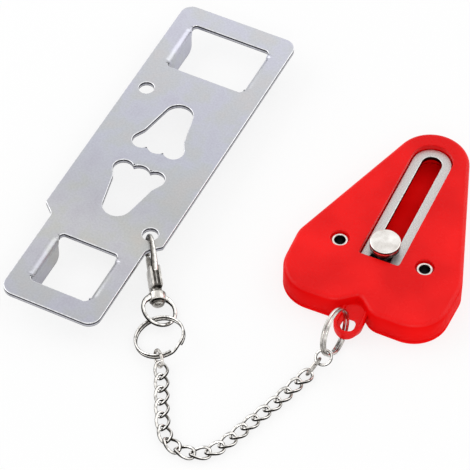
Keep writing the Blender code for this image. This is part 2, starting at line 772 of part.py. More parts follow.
# Slide lock
def lock_outline():
    return belt([
        (0.0, NOTCH_Y, NOTCH_RADIUS, -1),
        (INNER_LOBE_X, INNER_LOBE_Y, INNER_LOBE_RADIUS, 1),
        (LOBE_X, LOBE_Y, LOBE_RADIUS, 1),
        (SHOULDER_X, SHOULDER_Y, SHOULDER_RADIUS, 1),
        (0.0, TIP_Y, TIP_RADIUS, 1),
        (-SHOULDER_X, SHOULDER_Y, SHOULDER_RADIUS, 1),
        (-LOBE_X, LOBE_Y, LOBE_RADIUS, 1),
        (-INNER_LOBE_X, INNER_LOBE_Y, INNER_LOBE_RADIUS, 1),
    ])


def eased(mesh, height, width, segments):
    """Round the outer edge that lies at the given height."""
    work = bmesh.new()
    work.from_mesh(mesh)
    edges = []
    for edge in work.edges:
        level = all(abs(v.co.z - height) < WELD for v in edge.verts)
        if level and any(abs(f.normal.z) < cos(pi / 4) for f in edge.link_faces):
            edges.append(edge)
    bmesh.ops.bevel(work, geom=edges, offset=width, offset_type="OFFSET", segments=segments,
                    profile=0.5, affect="EDGES", clamp_overlap=False)
    work.to_mesh(mesh)
    work.free()
    return tidy(mesh)


def trough_outline(half_width, start_y, corner):
    return belt([
        (-half_width + corner, start_y + corner, corner, 1),
        (half_width - corner, start_y + corner, corner, 1),
        (0.0, TIP_Y, half_width, 1),
    ], WIDE_STEP)


def tab_outline(inset):
    """Tongue that narrows towards the body, drawn smaller all round by inset."""
    half = TAB_HALF_WIDTH - inset
    root = TAB_ROOT_HALF_WIDTH - inset
    return belt([
        (0.0, TAB_END_Y + TAB_HALF_WIDTH, half, 1),
        (root, TAB_ROOT_Y - inset, 0.0, 1),
        (-root, TAB_ROOT_Y - inset, 0.0, 1),
    ])


def tab_relief():
    """Room under the tongue: level up to its hole, then down along its tip."""
    hole_end = TAB_HOLE_END_Y - TAB_HOLE_RADIUS
    inner_end = NOTCH_Y + NOTCH_RADIUS + CUT_MARGIN
    side_view = [
        (TAB_END_Y, TAB_LOW), (TAB_END_Y, TAB_LOW - CUT_MARGIN),
        (inner_end, TAB_LOW - CUT_MARGIN), (inner_end, TAB_UNDERSIDE), (hole_end, TAB_UNDERSIDE),
    ]
    mesh = slab([side_view], -TAB_HALF_WIDTH - CUT_MARGIN, TAB_HALF_WIDTH + CUT_MARGIN)
    mesh.transform(turn("Z", pi / 2) @ turn("X", pi / 2))
    return mesh


def tab_crest():
    """Room above the tongue: its wall is low along the tip and climbs towards the body."""
    outer_y = TAB_END_Y - CUT_MARGIN
    side_view = [
        (outer_y, TAB_WALL_TOP), (TAB_RISE_START_Y, TAB_WALL_TOP), (TAB_RISE_END_Y, TAB_ROOT_TOP),
        (TAB_RISE_END_Y, TAB_ROOT_TOP + CUT_MARGIN), (outer_y, TAB_ROOT_TOP + CUT_MARGIN),
    ]
    mesh = slab([side_view], -TAB_HALF_WIDTH - CUT_MARGIN, TAB_HALF_WIDTH + CUT_MARGIN)
    mesh.transform(turn("Z", pi / 2) @ turn("X", pi / 2))
    return mesh


def build_lock(paints, place, group):
    above = LOCK_THICKNESS + CUT_MARGIN
    below = -CUT_MARGIN
    pivot = (0.0, TAB_HOLE_END_Y - TAB_HOLE_RADIUS, 0.0)

    recess = trough_outline(RECESS_HALF_WIDTH, RECESS_START, RECESS_CORNER)
    channel = trough_outline(CHANNEL_HALF_WIDTH, CHANNEL_START, RECESS_CORNER)
    front = slab([lock_outline()], FRONT_LOW, LOCK_THICKNESS)
    front = eased(front, LOCK_THICKNESS, TOP_FILLET, FILLET_STEPS)
    tab = slab([tab_outline(0.0)], TAB_LOW, TAB_ROOT_TOP)
    well = slab([tab_outline(TAB_WALL_WIDTH)], TAB_WEB_TOP, above)
    tab = combined(tab, [well, tab_relief(), tab_crest()], "DIFFERENCE")
    front = combined(front, [tab], "UNION")
    eye = belt([
        (0.0, TAB_HOLE_END_Y, TAB_HOLE_RADIUS, 1),
        (0.0, TAB_HOLE_Y + TAB_HOLE_HALF_RUN, TAB_HOLE_RADIUS, 1),
    ])
    cuts = [slab([recess], LEDGE_Z, above), slab([channel], below, LEDGE_Z + CUT_MARGIN),
            slab([eye], below, TAB_WALL_TOP + CUT_MARGIN)]
    deep = LOCK_THICKNESS - RIVET_SETBACK - COUNTERBORE_DEPTH
    for side in (-1, 1):
        where = shift(side * RIVET_X, 0.0, 0.0)
        cuts.append(moved(cylinder(COUNTERBORE_RADIUS, deep, above, ROUND_STEPS), where))
        cuts.append(moved(cylinder(RIVET_HOLE_RADIUS, below, above, ROUND_STEPS), where))
    front = combined(front, cuts, "DIFFERENCE")
    placed("lock_front_shell", front, paints["shell"], place, pivot, group)

    back = slab([lock_outline()], 0.0, BACK_HIGH)
    back = eased(back, 0.0, BACK_CHAMFER, 1)
    pad = trough_outline(CHANNEL_HALF_WIDTH - SEAT_GAP, CHANNEL_START + SEAT_GAP, RECESS_CORNER)
    back = combined(back, [slab([pad], BACK_HIGH - CUT_MARGIN, CHANNEL_FLOOR)], "UNION")
    cuts = []
    for side in (-1, 1):
        where = shift(side * RIVET_X, 0.0, 0.0)
        cuts.append(moved(cylinder(COUNTERBORE_RADIUS, below, COUNTERBORE_DEPTH, ROUND_STEPS), where))
        cuts.append(moved(cylinder(RIVET_HOLE_RADIUS, below, above, ROUND_STEPS), where))
    back = combined(back, cuts, "DIFFERENCE")
    placed("lock_back_shell", back, paints["shell"], place, pivot, group)

    end = RAIL_HALF_WIDTH - RAIL_CORNER
    slot_side = RAIL_SLOT_HALF_WIDTH + RAIL_CORNER
    low = RAIL_START + RAIL_CORNER
    rail = slab([belt([
        (end, low, RAIL_CORNER, 1),
        (0.0, TIP_Y, RAIL_HALF_WIDTH, 1),
        (-end, low, RAIL_CORNER, 1),
        (-slot_side, low, RAIL_CORNER, 1),
        (0.0, TIP_Y, RAIL_SLOT_HALF_WIDTH, -1),
        (slot_side, low, RAIL_CORNER, 1),
    ], WIDE_STEP)], LEDGE_Z + SEAT_GAP, RAIL_TOP, RAIL_RIM)
    placed("guide_rail", rail, paints["rail"], place, pivot, group)

    rim_top = LOCK_THICKNESS - RIVET_SETBACK
    rim_under = rim_top - RIVET_RIM_HEIGHT
    flare = RIVET_RIM_RADIUS - RIVET_TUBE_RADIUS
    lip = RIVET_BORE_RADIUS + flare / 2
    profile = [
        (RIVET_BORE_RADIUS, rim_under), (lip, rim_top), (RIVET_RIM_RADIUS - flare / 4, rim_top),
        (RIVET_RIM_RADIUS, rim_top - RIVET_RIM_HEIGHT / 2), (RIVET_RIM_RADIUS, rim_under),
        (RIVET_TUBE_RADIUS, rim_under), (RIVET_TUBE_RADIUS, RIVET_RIM_HEIGHT),
        (RIVET_RIM_RADIUS, RIVET_RIM_HEIGHT), (RIVET_RIM_RADIUS, RIVET_RIM_HEIGHT / 2),
        (RIVET_RIM_RADIUS - flare / 4, 0.0), (lip, 0.0), (RIVET_BORE_RADIUS, RIVET_RIM_HEIGHT),
        (RIVET_BORE_RADIUS, rim_under),
    ]
    rivet = turned(profile, SMALL_ROUND_STEPS)
    for name, side in (("rivet_left", -1), ("rivet_right", 1)):
        where = place @ shift(side * RIVET_X, 0.0, 0.0)
        shared(name, rivet, paints["rivet"], where, group)

    knob = turned([
        (0.0, KNOB_TOP), (KNOB_RADIUS - KNOB_EDGE, KNOB_TOP), (KNOB_RADIUS, KNOB_TOP - KNOB_EDGE),
        (KNOB_RADIUS, KNOB_BOTTOM + KNOB_EDGE), (KNOB_RADIUS - KNOB_EDGE, KNOB_BOTTOM),
        (NECK_RADIUS, KNOB_BOTTOM), (NECK_RADIUS, NECK_BOTTOM), (SPIGOT_RADIUS, NECK_BOTTOM),
        (SPIGOT_RADIUS, SPIGOT_BOTTOM), (0.0, SPIGOT_BOTTOM),
    ], ROUND_STEPS)
    hole = SPIGOT_RADIUS + RIVET_GAP
    shoe = turned([
        (hole, SHOE_TOP), (SHOE_RADIUS - SHOE_EDGE, SHOE_TOP), (SHOE_RADIUS, SHOE_TOP - SHOE_EDGE),
        (SHOE_RADIUS, SHOE_BOTTOM + SHOE_EDGE), (SHOE_RADIUS - SHOE_EDGE, SHOE_BOTTOM),
        (hole, SHOE_BOTTOM), (hole, SHOE_TOP),
    ], ROUND_STEPS)
    washer = turned([
        (WASHER_INNER, WASHER_TOP), (WASHER_OUTER, WASHER_BOTTOM + WASHER_THICKNESS),
        (WASHER_OUTER, WASHER_BOTTOM), (WASHER_INNER, WASHER_TOP - WASHER_THICKNESS),
        (WASHER_INNER, WASHER_TOP),
    ], ROUND_STEPS)
    where = place @ shift(0.0, KNOB_Y, 0.0)
    placed("slide_knob", knob, paints["knob"], where, (0.0, 0.0, KNOB_BOTTOM), group)
    placed("slide_shoe", shoe, paints["shoe"], where, (0.0, 0.0, SHOE_BOTTOM), group)
    placed("slide_spring_washer", washer, paints["washer"], where, (0.0, 0.0, WASHER_BOTTOM), group)


# Assembly
def build():
    clear_scene()
    group = new_collection("portable_door_lock")
    zinc = material("zinc_plate", (0.62, 0.62, 0.64), 0.34, 1.0)
    nickel = material("nickel_casting", (0.66, 0.65, 0.62), 0.20, 1.0)
    pin = material("steel_pin", (0.50, 0.50, 0.50), 0.30, 1.0)
    paints = {
        "ring": material("nickel_ring", (0.68, 0.67, 0.64), 0.16, 1.0),
        "connector": material("nickel_connector", (0.67, 0.66, 0.63), 0.18, 1.0),
        "link": material("nickel_link", (0.66, 0.65, 0.62), 0.20, 1.0),
        "shell": material("red_shell", (0.80, 0.02, 0.02), 0.22, 0.0),
        "rail": material("steel_rail", (0.60, 0.60, 0.60), 0.38, 1.0),
        "rivet": material("nickel_rivet", (0.66, 0.64, 0.60), 0.24, 1.0),
        "knob": material("satin_knob", (0.68, 0.65, 0.60), 0.30, 1.0),
        "shoe": material("steel_shoe", (0.50, 0.50, 0.50), 0.40, 1.0),
        "washer": material("spring_steel_washer", (0.40, 0.40, 0.42), 0.35, 1.0),
    }
    spring = material("spring_wire", (0.55, 0.55, 0.56), 0.30, 1.0)
    build_plate(zinc, group)
    hook_place = build_hook(nickel, pin, spring, group)
    build_swivel_eye(nickel, hook_place, group)
    lock_place = build_chain(paints, group)
    build_lock(paints, lock_place, group)
    bpy.context.view_layer.update()


build()
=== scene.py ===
# %% [markdown]
# # A portable door lock
# A stamped steel plate hooks behind a door's strike, a curb chain hangs from it, and a red lock
# body with a sliding knob holds the door shut.  The solids arrive from CAD.  Here they get smooth
# surfaces, real finishes, a camera and soft light.  Shapes are written in millimetres, and
# become metres when their mesh is made.

# %% Load the frame
import math

import bmesh
import bpy
import numpy as np
from mathutils import Matrix, Vector


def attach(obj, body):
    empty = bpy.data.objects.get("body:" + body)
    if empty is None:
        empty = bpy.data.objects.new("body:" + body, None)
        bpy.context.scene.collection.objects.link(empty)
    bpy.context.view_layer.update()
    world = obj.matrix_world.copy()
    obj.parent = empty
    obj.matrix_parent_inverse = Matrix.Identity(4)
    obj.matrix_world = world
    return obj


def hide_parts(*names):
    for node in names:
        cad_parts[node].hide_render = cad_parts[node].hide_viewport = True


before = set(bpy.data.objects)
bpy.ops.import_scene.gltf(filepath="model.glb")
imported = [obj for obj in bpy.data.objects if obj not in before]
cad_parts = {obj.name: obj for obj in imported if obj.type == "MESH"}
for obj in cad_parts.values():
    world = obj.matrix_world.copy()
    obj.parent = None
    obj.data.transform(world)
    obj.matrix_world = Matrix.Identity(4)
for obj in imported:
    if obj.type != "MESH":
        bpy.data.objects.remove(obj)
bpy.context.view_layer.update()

MM = 0.001

# %% [markdown]
# ## Outlines that run round circles
# Stamped and moulded parts are drawn as arcs joined by straight lines.  A Bezier curve could
# follow them, but a rounded rim needs the same outline again, moved inwards, with its points
# in step.  So one function walks round a set of circles and moves the line by any distance.

# %% Outline helper
def belt(circles, inset=0.0):
    """Points round circles (x, y, radius, side) joined by common tangents, in millimetres.

    On each arc a point is the centre minus (side * radius - inset) times the left normal.  An
    arc bulges outwards where its side is 1, and is a hollow where it is -1.
    """
    step = 6.0  # degrees
    c = np.array(circles, dtype=float)
    nxt = np.roll(c, -1, axis=0)
    if len(c) == 1:
        angle = np.radians(np.arange(0.0, 360.0, step))
        reach = c[0, 2] * c[0, 3] - inset
        return np.stack([c[0, 0] + reach * np.cos(angle), c[0, 1] + reach * np.sin(angle)], axis=1)
    delta = nxt[:, :2] - c[:, :2]
    signed = c[:, 2] * c[:, 3]
    offset = np.roll(signed, -1) - signed
    run = np.sqrt(np.maximum((delta ** 2).sum(axis=1) - offset ** 2, 1e-12))
    heading = np.arctan2(delta[:, 1], delta[:, 0]) - np.arctan2(offset, run)
    points = []
    for i, (x, y, radius, side) in enumerate(c):
        turn = (heading[i] - heading[i - 1]) % (2 * np.pi)
        turn = turn - 2 * np.pi if side < 0 else turn
        count = max(1, math.ceil(abs(turn) / math.radians(step)))
        left = heading[i - 1] + np.linspace(0.0, turn, count + 1) + np.pi / 2
        reach = side * radius - inset
        points.append(np.stack([x - reach * np.cos(left), y - reach * np.sin(left)], axis=1))
    return np.concatenate(points)


def mirrored(right):
    """The circles, then their mirror images at -x in the opposite order."""
    return right + [(-x, y, r, s) for x, y, r, s in reversed(right)]


def turned_over(circles):
    """The circles after half a turn: (x, y) becomes (-x, -y)."""
    return [(-x, -y, r, s) for x, y, r, s in circles]


print("points round one circle:", len(belt([(0.0, 0.0, 1.0, 1)])))

# %% [markdown]
# ## Sheets of points become one mesh
# No real edge is sharp: the punch, the mould or the tumbling drum rounds it.  A Bevel modifier
# makes slivers where small arcs crowd together.  Here each surface is a grid of points, with
# rows along the edge's profile and columns round the outline, so the round is exact.  A flat
# face between several outlines has no grid, and Blender's curve fill makes it.

# %% Grids and fills
def wall(circles, profile, inward=1.0):
    """Grid whose rows are the outline moved inwards by profile[:, 0], at height profile[:, 1]."""
    grid = np.stack([belt(circles, inward * inset) for inset, _ in profile])
    heights = np.array([z for _, z in profile])[:, None, None]
    return np.concatenate([grid, np.broadcast_to(heights, grid.shape[:2] + (1,))], axis=2)


def capped(grid):
    """The grid closed by two more rows, each drawn together to the mean of an end row."""
    tips = grid[[0, -1]].mean(axis=1, keepdims=True) + 0 * grid[[0, -1]]
    return np.concatenate([tips[:1], grid, tips[1:]])


def grid_faces(rows, cols):
    """Quads between neighbouring rows and columns, the last column joined to the first.

    In their map u is the row over the number of steps, and v the column over the columns.
    """
    r = np.arange(rows - 1)[:, None]
    c = np.arange(cols)[None, :]
    d = (c + 1) % cols
    quads = np.stack([r * cols + c, r * cols + d, (r + 1) * cols + d, (r + 1) * cols + c], axis=-1)
    u = np.stack([r + 0 * c, r + 0 * c, r + 1 + 0 * c, r + 1 + 0 * c], axis=-1) / (rows - 1)
    v = np.stack([c + 0 * r, c + 1 + 0 * r, c + 1 + 0 * r, c + 0 * r], axis=-1) / cols
    return quads.reshape(-1, 4), np.stack([u, v], axis=-1).reshape(-1, 2)


def flat_fill(loops, height):
    """Flat face of the first loop less the others, from a filled two-dimensional curve."""
    curve = bpy.data.curves.new("fill", "CURVE")
    curve.dimensions = "2D"
    curve.fill_mode = "BOTH"
    for loop in loops:
        spline = curve.splines.new("POLY")
        spline.points.add(len(loop) - 1)
        flat = np.zeros((len(loop), 4))
        flat[:, :2] = loop
        flat[:, 3] = 1.0
        spline.points.foreach_set("co", flat.ravel())
        spline.use_cyclic_u = True
    carrier = bpy.data.objects.new("fill", curve)
    bpy.context.scene.collection.objects.link(carrier)
    graph = bpy.context.evaluated_depsgraph_get()
    mesh = bpy.data.meshes.new_from_object(carrier.evaluated_get(graph))
    points = np.empty(len(mesh.vertices) * 3)
    mesh.vertices.foreach_get("co", points)
    points = points.reshape(-1, 3)
    points[:, 2] = height
    faces = [tuple(p.vertices) for p in mesh.polygons]
    bpy.data.objects.remove(carrier, do_unlink=True)
    bpy.data.meshes.remove(mesh)
    return points, faces


# %% [markdown]
# ## From points to a piece
# A real part is one body.  Its grids and fills could stay separate objects, but each seam
# would shade as a crease, so they are joined into one closed mesh.  The same step gives it its
# finishes, its map and its body, and hides the CAD solid it stands for.

# %% Piece
SEAM = 0.002 * MM  # points nearer than this become one
FILL_MAP = 0.25  # flat fills read a banded finish at this one place


def piece(name, body, stands_for, finish, grids, fills=(), place=None, sharp=38.0, second=None):
    """One closed mesh from grids and flat fills given in millimetres, riding on a CAD body.

    Each grid is followed by the ranges of its rows that take the second finish.  Edges that
    turn by more than sharp degrees are shaded sharp.
    """
    points, faces, maps, slots, start = [], [], [], [], 0
    for grid, *ranges in grids:
        rows, cols = grid.shape[:2]
        points.append(grid.reshape(-1, 3))
        quads, where = grid_faces(rows, cols)
        faces += (quads + start).tolist()
        maps.append(where)
        mark = np.zeros((rows - 1, cols), dtype=np.int32)
        for low, high in ranges:
            mark[low:high] = 1
        slots.append(mark.ravel())
        start += rows * cols
    for flat, polygons in fills:
        points.append(flat)
        faces += [tuple(start + k for k in polygon) for polygon in polygons]
        maps.append(np.full((sum(len(p) for p in polygons), 2), FILL_MAP))
        slots.append(np.zeros(len(polygons), dtype=np.int32))
        start += len(flat)
    points = np.concatenate(points) * MM
    if place is not None:
        points = points @ place[:3, :3].T + place[:3, 3]
    mesh = bpy.data.meshes.new(name)
    mesh.from_pydata(points.tolist(), [], faces)
    mesh.materials.append(finish)
    if second is not None:
        mesh.materials.append(second)
    mesh.uv_layers.new(name="surface").data.foreach_set("uv", np.concatenate(maps).ravel())
    mesh.polygons.foreach_set("material_index", np.concatenate(slots))
    work = bmesh.new()
    work.from_mesh(mesh)
    bmesh.ops.remove_doubles(work, verts=work.verts, dist=SEAM)
    bmesh.ops.recalc_face_normals(work, faces=work.faces)
    work.to_mesh(mesh)
    work.free()
    mesh.shade_smooth()
    mesh.set_sharp_from_angle(angle=math.radians(sharp))
    item = bpy.data.objects.new(name, mesh)
    bpy.context.scene.collection.objects.link(item)
    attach(item, body)
    if stands_for:
        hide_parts(stands_for)
    print(f"{name}: {len(mesh.polygons)} faces")


# %% [markdown]
# ## Profiles of edges
# An edge's profile is a list of (inset, height) pairs.  It could be typed point by point, but a
# quarter arc between two corners says what the tool did, and its radius is easy to change.

# %% Edge profiles
def rounded(start, end, steps=5):
    """Quarter arc of (inset, height) pairs that leaves start along the height, ends flat at end."""
    t = np.linspace(0.0, np.pi / 2, steps + 1)
    d = start[0] + (end[0] - start[0]) * (1 - np.cos(t))
    z = start[1] + (end[1] - start[1]) * np.sin(t)
    return list(zip(d, z))


def rim(low, high, soft_low, soft_high, shelf=0.3):
    """Edge profile of a slab: flat shelf, lower round, side, upper round, flat shelf."""
    lower = rounded((0.0, low + soft_low), (soft_low, low))[::-1]
    upper = rounded((0.0, high - soft_high), (soft_high, high))
    return [(soft_low + shelf, low)] + lower + upper + [(soft_high + shelf, high)]


def eased(x):
    """Smooth step: 3 x squared less 2 x cubed, with x held between 0 and 1."""
    x = np.clip(x, 0.0, 1.0)
    return x * x * (3 - 2 * x)


print("points in a slab's edge profile:", len(rim(0.0, 2.0, 0.25, 0.25)))

# %% [markdown]
# ## Places of the parts
# The hook, each ring and each link lie at their own slant, as they were laid on the table.  A
# part could be drawn where it lies, but one that is drawn flat and square is easier to get
# right.  A 4 by 4 matrix then puts it in its place, with the same numbers as in the CAD.

# %% Placing helpers
def spin(axis, degrees):
    """Turn about one axis: the cells of the other two hold cos, -sin, sin and cos."""
    a = math.radians(degrees)
    c, s = math.cos(a), math.sin(a)
    m = np.eye(4)
    i, j = {"X": (1, 2), "Y": (2, 0), "Z": (0, 1)}[axis]
    m[i, i], m[j, j], m[i, j], m[j, i] = c, c, -s, s
    return m


def shift(x, y, z):
    """Translation by millimetres."""
    m = np.eye(4)
    m[:3, 3] = np.array([x, y, z]) * MM
    return m


# %% Places
FLOOR = -8.0  # the claws' tips stand on it
HOOK = shift(15.44, -29.88, -0.2) @ spin("Z", -54.67) @ spin("Y", 9.47) @ spin("X", -10.0)
EYE_FRAME = HOOK @ spin("X", -12.0)
KEY_RING = (shift(36.5, -61.99, FLOOR + 2.88) @ spin("Z", -58.0) @ spin("Y", -4.0)
            @ spin("X", 12.0))
CHAIN_START = shift(36.5, -61.99, 0.0) @ spin("Z", -60.0)
START_CONNECTOR = (CHAIN_START @ shift(8.865, -0.682, FLOOR + 2.986) @ spin("Z", 17.2)
                   @ spin("Y", 6.3) @ spin("X", -14.7))

# The chain's curve: one heading for each link, and a link's centre half a pitch along it.
PITCH = 5.1
HEADINGS = [-60.0, -62.3, -62.2, -61.3, -58.9, -48.5, -21.0, 6.3, 33.5,
            57.3, 69.9, 71.5, 71.7, 70.6, 71.5, 74.1, 74.9, 72.0]
turns = np.radians(HEADINGS)
steps = PITCH * np.stack([np.cos(turns), np.sin(turns)], axis=1)
first = (CHAIN_START @ shift(12.66 - PITCH / 2, 0.0, 0.0))[:2, 3] / MM
centres = first + np.cumsum(steps, axis=0) - steps / 2
LINKS = [shift(x, y, FLOOR + 1.5) @ spin("Z", h) for (x, y), h in zip(centres, HEADINGS)]

# Each part after the chain is placed by its distance from the one before it.
at = centres[-1] + [1.240, 4.427]
END_CONNECTOR = (shift(*at, FLOOR + 2.91) @ spin("Z", 79.8) @ spin("Y", -11.8)
                 @ spin("X", 27.5))
at = at + [1.936, 3.534]
JUMP_RING = shift(*at, FLOOR + 4.744) @ spin("Z", -99.3) @ spin("Y", 21.1)
at = at + [-0.016, 8.429]
TAB_RING = shift(*at, FLOOR + 8.459) @ spin("Z", -92.7) @ spin("X", 98.25)
at = at + [0.306, 36.661]
LOCK = shift(*at, FLOOR) @ spin("Z", 2.0)
print("lock origin (mm):", at.round(2))

# %% [markdown]
# ## Node graphs in one call
# A finish is a small graph of shader nodes.  It could be wired by hand, but a script gives the
# same graph each time.  One function adds a node with its settings and links, and one turns
# written sRGB colours into the linear ones that the shader wants.

# %% Material helpers
MIX_A, MIX_B, MIX_OUT = 6, 7, 2  # a Mix node's colour inputs and its colour output
MULTIPLY = {"data_type": "RGBA", "blend_type": "MULTIPLY"}


def linear(code):
    """sRGB hex to linear: x / 12.92 below 0.04045, else ((x + 0.055) / 1.055) to the 2.4."""
    rgb = np.array([int(code[i:i + 2], 16) for i in (0, 2, 4)]) / 255.0
    lin = np.where(rgb <= 0.04045, rgb / 12.92, ((rgb + 0.055) / 1.055) ** 2.4)
    return (*lin.tolist(), 1.0)


def grey(share):
    """A factor on all three channels, for a ramp that multiplies another colour."""
    return (share, share, share, 1.0)


def add(tree, kind, sockets=None, stops=(), **properties):
    """Add one node, named without its first word, ShaderNode, and set its properties.

    A socket's value that is a node's output is linked, and any other is set.  The stops of a
    colour ramp are (place, linear colour) pairs, and a new ramp already has two.
    """
    node = tree.nodes.new("ShaderNode" + kind)
    for key, value in properties.items():
        setattr(node, key, value)
    for key, value in (sockets or {}).items():
        if isinstance(value, bpy.types.NodeSocket):
            tree.links.new(value, node.inputs[key])
        else:
            node.inputs[key].default_value = value
    for _ in stops[2:]:
        node.color_ramp.elements.new(0.5)
    for k, (place, colour) in enumerate(stops):
        node.color_ramp.elements[k].position = place
        node.color_ramp.elements[k].color = colour
    return node


def blank(name):
    """An empty material and its node tree."""
    made = bpy.data.materials.new(name)
    made.use_nodes = True
    made.node_tree.nodes.clear()
    return made, made.node_tree


# %% [markdown]
# ## Zinc-plated steel sheet
# The plate is pressed from cold-rolled sheet and bright zinc plated.  The bath leaves faint
# clouds of lavender, green and warm grey, and the rolls leave fine lines along the sheet.  A
# photograph could carry both, but noise in the object's own coordinates shows no seam.  Its
# scale is the number of spots in a metre, written as the number in a millimetre over MM.

# %% Zinc finish
def zinc_finish():
    """Clouds 12.5 mm wide, times a slow drift along the sheet, times fine plating grains."""
    made, tree = blank("bright_zinc_plated_steel")
    where = add(tree, "TexCoord").outputs["Object"]
    cloud = add(tree, "TexNoise", {
        "Vector": where, "Scale": 0.08 / MM, "Detail": 3.0, "Roughness": 0.55})
    tone = add(tree, "ValToRGB", {"Fac": cloud.outputs["Fac"]}, [
        (0.30, linear("CCCBD9")), (0.45, linear("D1D2DE")), (0.55, linear("CFD1D6")),
        (0.70, linear("D3D1D3"))])
    # The tone is darker towards the near end.  The stops are factors on the tone.
    split = add(tree, "SeparateXYZ", {"Vector": where})
    share = add(tree, "MapRange", {
        "Value": split.outputs["Y"], "From Min": -72 * MM, "From Max": 72 * MM})
    drift = add(tree, "ValToRGB", {"Fac": share.outputs["Result"]}, [
        (0.0, grey(0.75)), (0.24, (0.87, 0.86, 0.80, 1.0)), (0.36, (0.80, 0.80, 0.77, 1.0)),
        (0.52, (0.85, 0.86, 0.86, 1.0)), (0.70, grey(0.90)), (1.0, grey(1.0))])
    drifted = add(tree, "Mix", {
        "Factor": 1.0, MIX_A: tone.outputs["Color"], MIX_B: drift.outputs["Color"]},
        **MULTIPLY)
    # Real grains are a few microns wide.  They are drawn 0.7 mm wide so that they show.
    grains = add(tree, "TexNoise", {"Vector": where, "Scale": 1.5 / MM, "Detail": 2.0})
    grain = add(tree, "ValToRGB", {"Fac": grains.outputs["Fac"]}, [
        (0.35, grey(0.91)), (0.65, grey(1.0))])
    colour = add(tree, "Mix", {
        "Factor": 1.0, MIX_A: drifted.outputs[MIX_OUT], MIX_B: grain.outputs["Color"]},
        **MULTIPLY)
    # Roll lines are spots 0.26 mm wide drawn out 20 times along the sheet.  Real ones are
    # finer, and wouldn't show.
    drawn_out = add(tree, "Mapping", {"Vector": where, "Scale": (1.0, 0.05, 1.0)})
    lines = add(tree, "TexNoise", {
        "Vector": drawn_out.outputs["Vector"], "Scale": 3.8 / MM, "Detail": 2.0})
    rough = add(tree, "MapRange", {
        "Value": lines.outputs["Fac"], "To Min": 0.27, "To Max": 0.42})
    bump = add(tree, "Bump", {
        "Height": lines.outputs["Fac"], "Strength": 0.10, "Distance": 0.05 * MM})
    shader = add(tree, "BsdfPrincipled", {
        "Base Color": colour.outputs[MIX_OUT], "Metallic": 0.95,
        "Roughness": rough.outputs["Result"], "Normal": bump.outputs["Normal"]})
    add(tree, "OutputMaterial", {"Surface": shader.outputs["BSDF"]})
    return made


# Bright zinc: a pale lavender grey, satin along the roll lines.
ZINC = zinc_finish()

# %% [markdown]
# ## Bands that follow a surface
# A punch first rolls the sheet's edge over and burnishes it, then the metal tears.  So the cut
# face has a bright upper lip, a dark line, a shiny band and a dark torn foot; here the bright
# lip is also a painted highlight, the dark bands painted shade, and round a wire the bands are
# painted reflections.  Each band could be a strip of faces of its own.  A ramp read across the
# surface's map is simpler and follows every opening, because u runs up an edge and v runs once
# round a wire.

# %% Banded metal
ALONG_U, ALONG_V = 0, 1


def banded(name, along, rough, mottle_low, stops):
    """Metal with bands across its map, times spots that darken it to mottle_low.

    The spots are painted, broken-up reflections, drawn 1.1 mm wide so that they show.
    """
    made, tree = blank(name)
    surface = add(tree, "UVMap", uv_map="surface").outputs["UV"]
    split = add(tree, "SeparateXYZ", {"Vector": surface})
    bands = add(tree, "ValToRGB", {"Fac": split.outputs[along]}, [
        (place, linear(code)) for place, code in stops])
    where = add(tree, "TexCoord").outputs["Object"]
    mottle = add(tree, "TexNoise", {"Vector": where, "Scale": 0.9 / MM, "Detail": 2.0})
    spots = add(tree, "ValToRGB", {"Fac": mottle.outputs["Fac"]}, [
        (0.38, grey(mottle_low)), (0.50, grey(1.0))])
    colour = add(tree, "Mix", {
        "Factor": 1.0, MIX_A: bands.outputs["Color"], MIX_B: spots.outputs["Color"]},
        **MULTIPLY)
    dull = add(tree, "MapRange", {
        "Value": mottle.outputs["Fac"], "To Min": 0.6 * rough, "To Max": 1.5 * rough})
    shader = add(tree, "BsdfPrincipled", {
        "Base Color": colour.outputs[MIX_OUT], "Metallic": 1.0,
        "Roughness": dull.outputs["Result"]})
    add(tree, "OutputMaterial", {"Surface": shader.outputs["BSDF"]})
    return made


# Punched edge: a torn foot, a thin burnished line and a rolled lip; the bright lip is a painted
# highlight and the near-black bands are painted shade.
PUNCHED_EDGE_PAINTED_LIGHT = banded("punched_edge_painted_highlight_and_shade", ALONG_U, 0.25, 0.80, [
    (0.0, "3A3A40"), (0.462, "2A2A2E"), (0.476, "CFCFD6"), (0.500, "B4B4BC"), (0.512, "34343A"),
    (0.540, "2A2A2E"), (0.600, "F4F4F6"), (1.0, "E0E0E5")])
# Cut steel: the guide's edge is painted dark as shade in the recess, with a painted highlight along
# its lip.
RAIL_EDGE_PAINTED_LIGHT = banded("guide_edge_painted_shade_and_highlight", ALONG_U, 0.25, 0.55, [
    (0.0, "26262A"), (0.55, "2E2E32"), (0.68, "4A4A4C"), (0.80, "F0F0EE"), (1.0, "D8D8D6")])
# Nickel-plated wire mirrors a lamp in one stripe and a dark room in the next.  This set has no
# dark room, so the stripes are painted: a highlight on the crown, dark reflections on the flanks.
WIRE_PAINTED_REFLECTIONS = banded("nickel_wire_painted_reflections", ALONG_V, 0.14, 0.55, [
    (0.0, "1E1C1A"), (0.11, "26231F"), (0.17, "F8F5F0"), (0.34, "F8F5F0"), (0.40, "2E2B28"),
    (0.50, "1E1C1A"), (0.60, "A09C96"), (0.86, "A09C96"), (0.94, "1E1C1A"), (1.0, "1E1C1A")])
